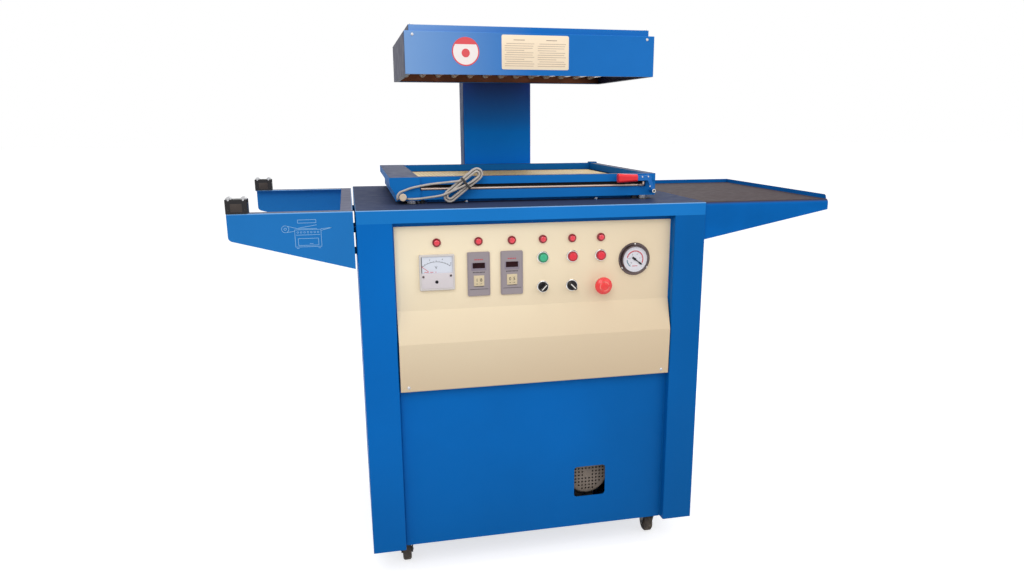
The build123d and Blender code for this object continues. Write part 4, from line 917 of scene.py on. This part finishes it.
@dataclass
class Timers:
    """The printed fields, windows and thumbwheels of the two timers."""

    xs: tuple[float, ...] = (-136.5, -60.7)
    z: float = -150.0
    face_y: float = 16.0
    display_z: float = -133.0
    window_rise: float = 2.6
    wheels_z: float = -164.6
    readings: tuple[str, ...] = ("18", "05")

    def _inserts(self, x: float) -> bmesh.types.BMesh:
        """The plate that fills the window's recess, level with the face."""
        low, high = at(x - 17.0, self.face_y - 0.2, self.display_z - 9.0), at(x + 17.0, 17.5, self.display_z + 9.0)
        return rounded_block(low, high, 0.6, 0.15)

    def _window(self, x: float) -> bmesh.types.BMesh:
        """The dark window of the display."""
        middle = self.display_z + self.window_rise
        low = at(x - 14.0, self.face_y - 0.7, middle - 6.2)
        return rounded_block(low, at(x + 14.0, self.face_y + 0.4, middle + 6.2), 0.8, 0.3)

    def _wheels(self, x: float) -> bmesh.types.BMesh:
        """The beige block of two thumbwheels with a fine rim."""
        low, high = at(x - 11.8, self.face_y - 1.0, self.wheels_z - 12.4), at(x + 11.8, 18.5, self.wheels_z + 11.6)
        block = rounded_block(low, high, 0.8, 0.4)
        raised = [rounded_block(at(x + side - 4.6, self.face_y - 1.6, self.wheels_z - 9.0),
                                at(x + side + 4.6, self.face_y - 0.9, self.wheels_z + 9.0), 0.6, 0.25)
                  for side in (-5.2, 5.2)]
        return merged([block, *raised])

    def _print(self, x: float, reading: str) -> bmesh.types.BMesh:
        """The figures on the wheels, the line below and the border of the field."""
        front = self.face_y - 1.6
        marks = [lettering(figure, at(x + side, front, self.wheels_z + 1.0), 8.0)
                 for figure, side in zip(reading, (-4.8, 4.8))]
        for side in (-4.8, 4.8):
            marks.append(strip(at(x + side - 1.6, front, self.wheels_z - 7.4),
                               at(x + side + 1.6, front, self.wheels_z - 7.4), 0.9, 0.2, FRONT))
        marks.append(strip(at(x - 21.0, self.face_y, self.z - 34.5), at(x + 21.0, self.face_y, self.z - 34.5),
                           0.8, 0.2, FRONT))
        for step in range(9):
            left = x - 13.5 + 3.1 * step
            marks.append(strip(at(left, self.face_y, self.z + 4.0), at(left + 2.0, self.face_y, self.z + 4.0),
                               2.0, 0.12, FRONT))
        return merged(marks)

    def _segments(self, x: float) -> bmesh.types.BMesh:
        """The small coloured bars over the window and in it."""
        bars = [strip(at(x - 9.5 + 4.0 * step, self.face_y, self.z + 33.0),
                      at(x - 6.9 + 4.0 * step, self.face_y, self.z + 33.0), 2.2, 0.2, FRONT) for step in range(5)]
        return merged(bars)

    def build(self) -> None:
        """Makes the timers' loose pieces."""
        fields = []
        for x in self.xs:
            fields.append(self._inserts(x))
            for side in (-23.0, 23.0):
                fields.append(strip(at(x + side, self.face_y, self.z - 47.0), at(x + side, self.face_y, self.z + 47.0),
                                    0.6, 0.2, FRONT))
        finish_mesh("timer_fields", merged(fields), TIMER_FIELD, "machine")
        finish_mesh("timer_windows", merged(self._window(x) for x in self.xs), DISPLAY, "machine")
        finish_mesh("timer_thumbwheels", merged(self._wheels(x) for x in self.xs), BEIGE, "machine")
        prints = merged(self._print(x, reading) for x, reading in zip(self.xs, self.readings))
        finish_mesh("timer_figures", prints, INK, "machine")
        finish_mesh("timer_marks", merged(self._segments(x) for x in self.xs), RED_INK, "machine")


@dataclass
class VacuumGauge:
    """The dial, its print, the needle and the flange screws of the round gauge."""

    x: float = 233.0
    z: float = -130.6
    dial_y: float = 15.0
    dial_radius: float = 29.8
    scale_radius: float = 19.6
    red_arc: tuple[float, float] = (-28.0, 168.0)
    green_arc: tuple[float, float] = (184.0, 236.0)
    screw_angles: tuple[float, ...] = (90.0, 213.0, 327.0)
    screw_ring: float = 35.6
    needle_angle: float = -37.0
    tip: float = 21.5
    tail: float = 8.5

    def _spot(self, angle: float, radius: float, y: float) -> Vector:
        """A place on the gauge's face.

        Args:
            angle: degrees from the right, anticlockwise as seen.
            radius: millimetres from the middle.
            y: how deep it lies.

        Returns:
            The place.
        """
        turn = math.radians(angle)
        return at(self.x + radius * math.cos(turn), y, self.z + radius * math.sin(turn))

    def _ticks(self) -> bmesh.types.BMesh:
        """The short marks and figures inside the coloured arcs."""
        y = self.dial_y - 0.3
        marks = []
        for step in range(21):
            angle = -45.0 + 270.0 * step / 20
            inner = 15.8 if step % 4 == 0 else 17.0
            marks.append(strip(self._spot(angle, inner, y), self._spot(angle, 18.6, y), 0.5, 0.2, FRONT))
        for text, angle in (("0", -42.0), ("2", 12.0), ("4", 66.0), ("6", 120.0), ("8", 172.0), ("10", 222.0)):
            marks.append(lettering(text, self._spot(angle, 12.6, y), 3.2, 0.2))
        return merged(marks)

    def _needle(self) -> bmesh.types.BMesh:
        """A tapering needle with a broad tail and a hub."""
        y = self.dial_y - 1.6
        pointer = strip(self._spot(self.needle_angle, -2.0, y), self._spot(self.needle_angle, self.tip, y),
                        2.2, 0.5, FRONT)
        point = strip(self._spot(self.needle_angle, self.tip * 0.55, y), self._spot(self.needle_angle, self.tip - 2.0, y),
                      3.4, 0.5, FRONT)
        tail = strip(self._spot(self.needle_angle + 180, 0.0, y), self._spot(self.needle_angle + 180, self.tail, y),
                     4.6, 0.5, FRONT)
        hub = lathe(((0.0, -2.9), (2.4, -2.6), (2.9, -1.6), (2.9, 0.0), (0.0, 0.0)), Axis.Y,
                    self._spot(0.0, 0.0, self.dial_y), 24)
        bmesh.ops.bevel(tail, geom=tail.edges[:], offset=0.2 * MM, segments=1, profile=0.5, affect="EDGES",
                        material=-1)
        return merged((pointer, point, tail, hub))

    def build(self) -> None:
        """Makes the gauge's loose pieces."""
        radius = self.dial_radius
        dial = lathe(((0.0, -0.3), (radius - 2.0, -0.3), (radius - 1.2, -0.9), (radius, -1.0), (radius, 0.0),
                      (0.0, 0.0)), Axis.Y, self._spot(0.0, 0.0, self.dial_y), 64)
        finish_mesh("gauge_dial", dial, DIAL_WHITE, "machine")
        centre = self._spot(0.0, 0.0, self.dial_y - 0.3)
        red = [arc_strips(centre, self.scale_radius, *self.red_arc, 2.1, 0.2, 40)]
        red.append(strip(self._spot(-112.0, 17.0, self.dial_y - 0.3), self._spot(-68.0, 17.0, self.dial_y - 0.3),
                         1.4, 0.2, FRONT))
        finish_mesh("gauge_red_arc", merged(red), RED_INK, "machine")
        green = arc_strips(centre, self.scale_radius, *self.green_arc, 1.7, 0.2, 14)
        finish_mesh("gauge_green_arc", green, GREEN_INK, "machine")
        finish_mesh("gauge_marks", self._ticks(), INK, "machine")
        finish_mesh("gauge_needle", self._needle(), INK, "machine")
        heads = merged(screw_head(self._spot(angle, self.screw_ring, 18.5), 2.3, Axis.Y, -1.0, 2.0)
                       for angle in self.screw_angles)
        finish_mesh("gauge_screws", heads, CHROME, "machine")


@dataclass
class PushButtons:
    """The coloured faces set into the three button caps."""

    z: float = -118.0
    face_y: float = 12.0
    radius: float = 8.3
    buttons: tuple[tuple[str, float, Finish, str], ...] = (
        ("start_button", 12.0, BUTTON_GREEN, "green_plastic"),
        ("stop_button", 82.0, BUTTON_RED, "red_plastic"),
        ("heat_button", 150.0, BUTTON_RED, "red_plastic"),
    )

    def build(self) -> None:
        """Makes one face for each button."""
        radius = self.radius
        profile = ((0.0, -0.7), (radius * 0.6, -0.62), (radius * 0.92, -0.4), (radius, 0.0), (radius, 0.5), (0.0, 0.5))
        for body, x, finish, slot in self.buttons:
            face = lathe(profile, Axis.Y, at(x, self.face_y, self.z), 40)
            finish_mesh(f"{body}_face", face, finish, body)


@dataclass
class Selectors:
    """The white pointer bars on the two selector knobs."""

    z: float = -186.0
    bar_y: float = 3.0
    reach: float = 8.2
    width: float = 2.4
    knobs: tuple[tuple[str, float, float], ...] = (("selector_left", 12.0, 45.0), ("selector_right", 81.0, 135.0))

    def build(self) -> None:
        """Makes one pointer for each knob."""
        for body, x, angle in self.knobs:
            turn = math.radians(angle)
            run, rise = self.reach * math.cos(turn), self.reach * math.sin(turn)
            pointer = strip(at(x - run, self.bar_y + 0.2, self.z - rise), at(x + run, self.bar_y + 0.2, self.z + rise),
                            self.width, 0.5, FRONT)
            finish_mesh(f"{body}_pointer", pointer, WHITE_PLASTIC, body)


@dataclass
class EmergencyStop:
    """The pale turning arrows printed on the stop's domed head."""

    x: float = 152.0
    z: float = -187.0
    ring_y: float = -9.0
    ring_radius: float = 10.6
    arcs: tuple[tuple[float, float], ...] = ((20.0, 105.0), (140.0, 225.0), (260.0, 345.0))

    def build(self) -> None:
        """Makes the three arrows."""
        centre = at(self.x, self.ring_y, self.z)
        prints = []
        for first, last in self.arcs:
            prints.append(arc_strips(centre, self.ring_radius, first, last, 2.0, 0.5, 12))
            turn = math.radians(last)
            tip = at(self.x + self.ring_radius * math.cos(turn), self.ring_y, self.z + self.ring_radius * math.sin(turn))
            head = lathe(((0.0, -0.5), (2.3, -0.5), (2.3, 0.6), (0.0, 0.6)), Axis.Y, tip, 3)
            prints.append(head)
        finish_mesh("estop_arrows", merged(prints), ESTOP_PALE, "estop_head")


@dataclass
class PanelScrews:
    """The two screws at the foot of the control panel."""

    places: tuple[tuple[float, float], ...] = ((-303.0, -401.0), (303.0, -401.0))
    face_y: float = -0.2
    radius: float = 3.6

    def build(self) -> None:
        """Makes the screws."""
        heads = merged(screw_head(at(x, self.face_y, z), self.radius, Axis.Y, -1.0, 1.8) for x, z in self.places)
        finish_mesh("panel_screws", heads, STEEL, "machine")


# The film frame


@dataclass
class FrameTrim:
    """The latch stud's end, with a white ring that is a painted highlight, the bright ends of the feet, and the small
    screws of the lever, white as a painted highlight.
    """

    stud: Point = (305.0, 92.0, 20.0)
    feet: tuple[tuple[float, float], ...] = ((-146.0, 124.0), (169.0, 124.0), (-146.0, 604.0), (169.0, 604.0))
    lever_screws: tuple[Point, ...] = ((276.0, 96.0, 53.5), (290.9, 96.0, 54.0), (296.0, 96.0, 31.0))

    def build(self) -> None:
        """Makes the trim of the lower frame and of the lever."""
        # The white ring round the stud's end is a painted highlight.
        ring = lathe(((2.5, 0.6), (2.5, -1.0), (3.6, -1.6), (4.6, -1.0), (4.6, 0.6), (2.5, 0.6)), Axis.Y,
                     at(*self.stud), 32)
        finish_mesh("latch_stud_painted_highlight_ring", ring, WHITE_PLASTIC, "film_frame")
        middle = lathe(((0.0, -0.3), (2.6, -0.3), (2.6, 0.5), (0.0, 0.5)), Axis.Y, at(*self.stud), 24)
        finish_mesh("latch_stud_socket", middle, INK, "film_frame")
        profile = ((0.0, 0.0), (3.2, 0.0), (4.3, 0.9), (4.3, 4.6), (0.0, 4.6))
        tips = merged(lathe(profile, Axis.Z, at(x, y, 0.4), 24) for x, y in self.feet)
        finish_mesh("frame_foot_tips", tips, STEEL, "film_frame")
        # The lever's screw heads are white as a painted highlight.
        heads = merged(screw_head(at(*place), 1.7, Axis.Y, -1.0, 1.0) for place in self.lever_screws)
        finish_mesh("lever_screws", heads, WHITE_PLASTIC, "lever")


# The heater


@dataclass
class HeaterFront:
    """The round sticker, the notice plate and the screws on the heater's front."""

    front_y: float = 165.0
    sticker: tuple[float, float] = (-134.4, 337.3)
    sticker_radius: float = 31.5
    label_low: tuple[float, float] = (-51.0, 299.6)
    label_high: tuple[float, float] = (109.0, 375.8)
    columns: tuple[tuple[float, float], ...] = ((-44.0, 26.0), (34.0, 102.0))
    lines: int = 11
    front_screws: tuple[tuple[float, float], ...] = ((-254.0, 372.0), (303.0, 372.0))
    lid_screws: tuple[tuple[float, float], ...] = ((-255.0, 184.0), (304.0, 184.0), (-255.0, 573.0), (304.0, 573.0))
    lid_z: float = 394.0

    def _sticker(self) -> None:
        """A white disc with a red rim, a red cap over it and a plain red spot."""
        x, z = self.sticker
        radius = self.sticker_radius
        centre = at(x, self.front_y, z)
        disc = lathe(((0.0, -0.25), (radius, -0.25), (radius, 0.1), (0.0, 0.1)), Axis.Y, centre, 64)
        finish_mesh("heater_sticker", disc, STICKER_WHITE, "machine")
        face = at(x, self.front_y - 0.25, z)
        red = [arc_strips(face, radius - 1.4, 0.0, 360.0, 2.8, 0.15, 64)]
        cap = lathe(((0.0, -0.1), (radius - 1.4, -0.1), (radius - 1.4, 0.05), (0.0, 0.05)), Axis.Y, face, 64)
        cut = at(x, self.front_y, z + radius * 0.5)
        bmesh.ops.bisect_plane(cap, geom=cap.verts[:] + cap.edges[:] + cap.faces[:], plane_co=cut,
                               plane_no=(0, 0, -1), clear_outer=True)
        edges = [edge for edge in cap.edges if edge.is_boundary]
        bmesh.ops.holes_fill(cap, edges=edges)
        red.append(cap)
        spot = lathe(((0.0, -0.2), (radius * 0.3, -0.2), (radius * 0.3, 0.05), (0.0, 0.05)), Axis.Y,
                     at(x, self.front_y - 0.25, z - radius * 0.1), 32)
        red.append(spot)
        finish_mesh("heater_sticker_print", merged(red), STICKER_RED, "machine")

    def _label(self) -> None:
        """A cream plate with two columns of plain ruled lines."""
        low = at(self.label_low[0], self.front_y - 0.5, self.label_low[1])
        high = at(self.label_high[0], self.front_y + 0.1, self.label_high[1])
        finish_mesh("heater_label", rounded_block(low, high, 4.0, 0.2), LABEL, "machine")
        y = self.front_y - 0.5
        rules = []
        top = self.label_high[1] - 19.0
        pitch = (top - self.label_low[1] - 8.0) / (self.lines - 1)
        for left, right in self.columns:
            width = right - left
            rules.append(strip(at(left + width * 0.3, y, top + 8.0), at(left + width * 0.68, y, top + 8.0),
                               1.5, 0.12, FRONT))
            for line in range(self.lines):
                indent = 4.0 if line % 4 == 0 else 0.0
                short = width * (0.34 if line % 4 == 3 else 0.03 * (line % 3))
                z = top - pitch * line
                rules.append(strip(at(left + indent, y, z), at(right - short, y, z), 0.85, 0.12, FRONT))
        finish_mesh("heater_label_rules", merged(rules), FAINT_INK, "machine")

    def build(self) -> None:
        """Makes what sits on the heater's front and lid."""
        self._sticker()
        self._label()
        heads = [screw_head(at(x, self.front_y, z), 3.2, Axis.Y, -1.0, 1.6) for x, z in self.front_screws]
        heads += [screw_head(at(x, y, self.lid_z), 4.0, Axis.Z, 1.0, 2.6) for x, y in self.lid_screws]
        finish_mesh("heater_screws", merged(heads), STEEL, "machine")


@dataclass
class HeaterTubes:
    """The white ceramic caps at both ends of the thirteen heating tubes."""

    count: int = 13
    first_x: float = -239.5
    pitch: float = 44.0
    z: float = 308.0
    ends: tuple[tuple[float, float], ...] = ((166.9, 1.0), (590.1, -1.0))
    length: float = 26.0

    def build(self) -> None:
        """Makes the caps as one piece."""
        caps = []
        for tube in range(self.count):
            x = self.first_x + self.pitch * tube
            for y, way in self.ends:
                profile = ((0.0, 0.0), (7.4, 0.0), (8.3, 0.9 * way), (8.3, (self.length - 2.0) * way),
                           (6.4, (self.length + 1.0) * way), (6.2, (self.length - 4.0) * way), (0.0, self.length * way * 0.8))
                caps.append(lathe(profile, Axis.Y, at(x, y, self.z), 20))
        finish_mesh("tube_end_caps", merged(caps), CERAMIC, "machine")


# The roll holder


@dataclass
class ThreadingDiagram:
    """The line drawing on the front roll plate: a machine in plain outline with a roll beside it."""

    front_y: float = 0.0
    line: float = 0.75
    box: tuple[float, float, float, float] = (-525.0, -472.0, -72.0, -36.0)
    door: tuple[float, float, float, float] = (-519.0, -478.0, -69.0, -54.5)
    hood: tuple[float, float, float, float] = (-518.0, -481.0, -22.0, -15.5)
    roll: tuple[float, float] = (-543.5, -34.0)
    dots: int = 7

    def _line(self, x0: float, z0: float, x1: float, z1: float) -> bmesh.types.BMesh:
        """One line between two places on the plate."""
        return strip(at(x0, self.front_y, z0), at(x1, self.front_y, z1), self.line, 0.12, FRONT)

    def _outline(self, box: tuple[float, float, float, float]) -> list[bmesh.types.BMesh]:
        """The four sides of a box given by its left, right, low and high edges."""
        left, right, low, high = box
        sides = ((left, low, right, low), (right, low, right, high), (right, high, left, high), (left, high, left, low))
        return [self._line(*side) for side in sides]

    def build(self) -> None:
        """Makes the drawing as one piece."""
        left, right, low, high = self.box
        drawing = self._outline(self.box) + self._outline(self.door) + self._outline(self.hood)
        drawing.append(self._line(left + 2.0, low - 3.0, left + 7.0, low - 3.0))
        drawing.append(self._line(right - 7.0, low - 3.0, right - 2.0, low - 3.0))
        drawing.append(self._line(left + 2.0, high - 11.0, right - 2.0, high - 11.0))
        drawing.append(self._line(left + 8.0, high + 3.5, right - 8.0, high + 9.5))
        drawing.append(self._line(left + 8.0, high + 2.0, right - 8.0, high + 2.0))
        drawing.append(self._line(right, high + 1.0, right + 22.0, high + 3.0))
        drawing.append(self._line(right, high - 2.5, right + 22.0, high + 3.0))
        x, z = self.roll
        for radius in (7.2, 2.4):
            drawing.append(arc_strips(at(x, self.front_y, z), radius, 0.0, 360.0, self.line, 0.12, 28))
        drawing.append(self._line(x, z + 7.2, left + 8.0, high + 2.0))
        drawing.append(self._line(x, z - 7.2, left, high - 3.0))
        span = right - left - 12.0
        for step in range(self.dots):
            place = at(left + 6.0 + span * step / (self.dots - 1), self.front_y, high - 5.5)
            drawing.append(arc_strips(place, 1.7, 0.0, 360.0, 0.6, 0.12, 12))
        drawing.append(self._line(-496.0, -65.5, -489.0, -65.5))
        finish_mesh("threading_diagram", merged(drawing), PALE_INK, "machine")


@dataclass
class RollerBlocks:
    """The sunk-looking panels on the roller blocks and the screws that hold the blocks."""

    x0: float = -658.0
    width: float = 44.0
    fronts: tuple[float, ...] = (0.0, 562.0)
    backs: tuple[float, ...] = (28.0, 590.0)

    def build(self) -> None:
        """Makes a panel on both faces of each block, and two screws beside it."""
        panels = []
        for y, way in [(y, -1.0) for y in self.fronts] + [(y, 1.0) for y in self.backs]:
            near, far = sorted((y, y + 0.7 * way))
            panels.append(rounded_block(at(self.x0 + 10.5, near, 3.5), at(self.x0 + self.width - 10.5, far, 20.5),
                                        1.2, 0.3))
        finish_mesh("block_panels", merged(panels), BLOCK_PANEL, "machine")
        heads = [screw_head(at(self.x0 + x, y, 6.5), 2.4, Axis.Y, -1.0, 1.0)
                 for x in (5.5, self.width - 5.5) for y in self.fronts]
        finish_mesh("block_screws", merged(heads), FORK_BLACK, "machine")


# Studio


@dataclass
class Studio:
    """The floor, the lights, the world and the camera."""

    eye: Point = (-408.6, -1701.0, 188.0)
    yaw: float = 13.21
    pitch: float = -13.94
    focal_px: float = 785.56
    image: tuple[int, int] = (1024, 576)
    principal: tuple[float, float] = (535.71, 314.09)
    sensor: float = 36.0
    world_strength: float = 0.62
    floor_glow: float = 0.68
    lamps: tuple[tuple[str, Point, float, float], ...] = (
        ("key", (-900.0, -2100.0, 1500.0), 26.0, 1.6),
        ("fill", (1700.0, -1500.0, 900.0), 12.0, 1.8),
        ("top", (100.0, 300.0, 2200.0), 22.0, 2.4),
        ("rear", (600.0, 2500.0, 1400.0), 16.0, 1.8),
    )

    def build(self) -> None:
        """Makes the whole studio."""
        self._floor()
        self._world()
        for lamp in self.lamps:
            self._lamp(*lamp)
        self._camera()

    def _floor(self) -> None:
        """A wide level floor that the camera sees as white, with the machine's shadow on it."""
        shape = bmesh.new()
        bmesh.ops.create_grid(shape, x_segments=2, y_segments=2, size=30.0)
        mesh = bpy.data.meshes.new("studio_floor")
        shape.to_mesh(mesh)
        shape.free()
        paint = FLOOR_WHITE.material()
        nodes, links = paint.node_tree.nodes, paint.node_tree.links
        path = nodes.new("ShaderNodeLightPath")
        seen = nodes.new("ShaderNodeMath")
        seen.operation = "MAXIMUM"
        links.new(path.outputs["Is Camera Ray"], seen.inputs[0])
        links.new(path.outputs["Is Glossy Ray"], seen.inputs[1])
        glow = nodes.new("ShaderNodeMath")
        glow.operation = "MULTIPLY"
        links.new(seen.outputs[0], glow.inputs[0])
        glow.inputs[1].default_value = self.floor_glow
        shader = nodes["Principled BSDF"]
        shader.inputs["Emission Color"].default_value = (1.0, 1.0, 1.0, 1.0)
        links.new(glow.outputs[0], shader.inputs["Emission Strength"])
        mesh.materials.append(paint)
        floor = bpy.data.objects.new("studio_floor", mesh)
        bpy.context.scene.collection.objects.link(floor)

    def _world(self) -> None:
        """Even white light, with a white background where it is seen or mirrored."""
        world = bpy.data.worlds.new("studio_world")
        bpy.context.scene.world = world
        world.use_nodes = True
        nodes, links = world.node_tree.nodes, world.node_tree.links
        background = nodes["Background"]
        background.inputs["Color"].default_value = (1.0, 1.0, 1.0, 1.0)
        path = nodes.new("ShaderNodeLightPath")
        seen = path.outputs["Is Camera Ray"]
        for name in ("Is Glossy Ray", "Is Transmission Ray"):
            both = nodes.new("ShaderNodeMath")
            both.operation = "MAXIMUM"
            links.new(seen, both.inputs[0])
            links.new(path.outputs[name], both.inputs[1])
            seen = both.outputs[0]
        strength = nodes.new("ShaderNodeMapRange")
        strength.inputs["To Min"].default_value = self.world_strength
        strength.inputs["To Max"].default_value = 1.0
        links.new(seen, strength.inputs["Value"])
        links.new(strength.outputs["Result"], background.inputs["Strength"])

    def _lamp(self, name: str, place: Point, power: float, size: float) -> None:
        """One soft lamp that looks at the machine's middle.

        Args:
            name: the lamp's name.
            place: where it hangs, in table millimetres.
            power: its power in watts.
            size: its side in metres.
        """
        light = bpy.data.lights.new(f"{name}_lamp", "AREA")
        light.energy = power
        light.size = size
        lamp = bpy.data.objects.new(f"{name}_lamp", light)
        lamp.location = at(*place)
        target = at(0.0, 320.0, -250.0)
        lamp.rotation_euler = (target - lamp.location).to_track_quat("-Z", "Y").to_euler()
        bpy.context.scene.collection.objects.link(lamp)

    def _camera(self) -> None:
        """The camera at the photograph's place and angle."""
        width, height = self.image
        lens = bpy.data.cameras.new("photo_camera")
        lens.sensor_width = self.sensor
        lens.lens = self.sensor * self.focal_px / width
        lens.shift_x = (width / 2 - self.principal[0]) / width
        lens.shift_y = (self.principal[1] - height / 2) / width
        lens.clip_end = 100.0
        camera = bpy.data.objects.new("photo_camera", lens)
        camera.location = at(*self.eye)
        camera.rotation_euler = (math.radians(90 + self.pitch), 0.0, math.radians(-self.yaw))
        bpy.context.scene.collection.objects.link(camera)
        bpy.context.scene.camera = camera
        bpy.context.scene.view_settings.view_transform = "Standard"


def dress_nodes() -> None:
    """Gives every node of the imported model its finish."""
    for finish, names in NODE_FINISHES.items():
        for name in names:
            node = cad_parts[name]
            node.data.materials.clear()
            node.data.materials.append(finish.material())


def main() -> None:
    """Dresses the machine piece by piece and sets up the studio."""
    logging.basicConfig(level=logging.INFO)
    dress_nodes()
    assemblies = (FilmCord(), IndicatorLamps(), Voltmeter(), Timers(), VacuumGauge(), PushButtons(), Selectors(),
                  EmergencyStop(), PanelScrews(), FrameTrim(), HeaterFront(), HeaterTubes(), ThreadingDiagram(),
                  RollerBlocks())
    for assembly in assemblies:
        LOG.info("assembly %s", type(assembly).__name__)
        assembly.build()
    Studio().build()


if __name__ == "__main__":
    main()
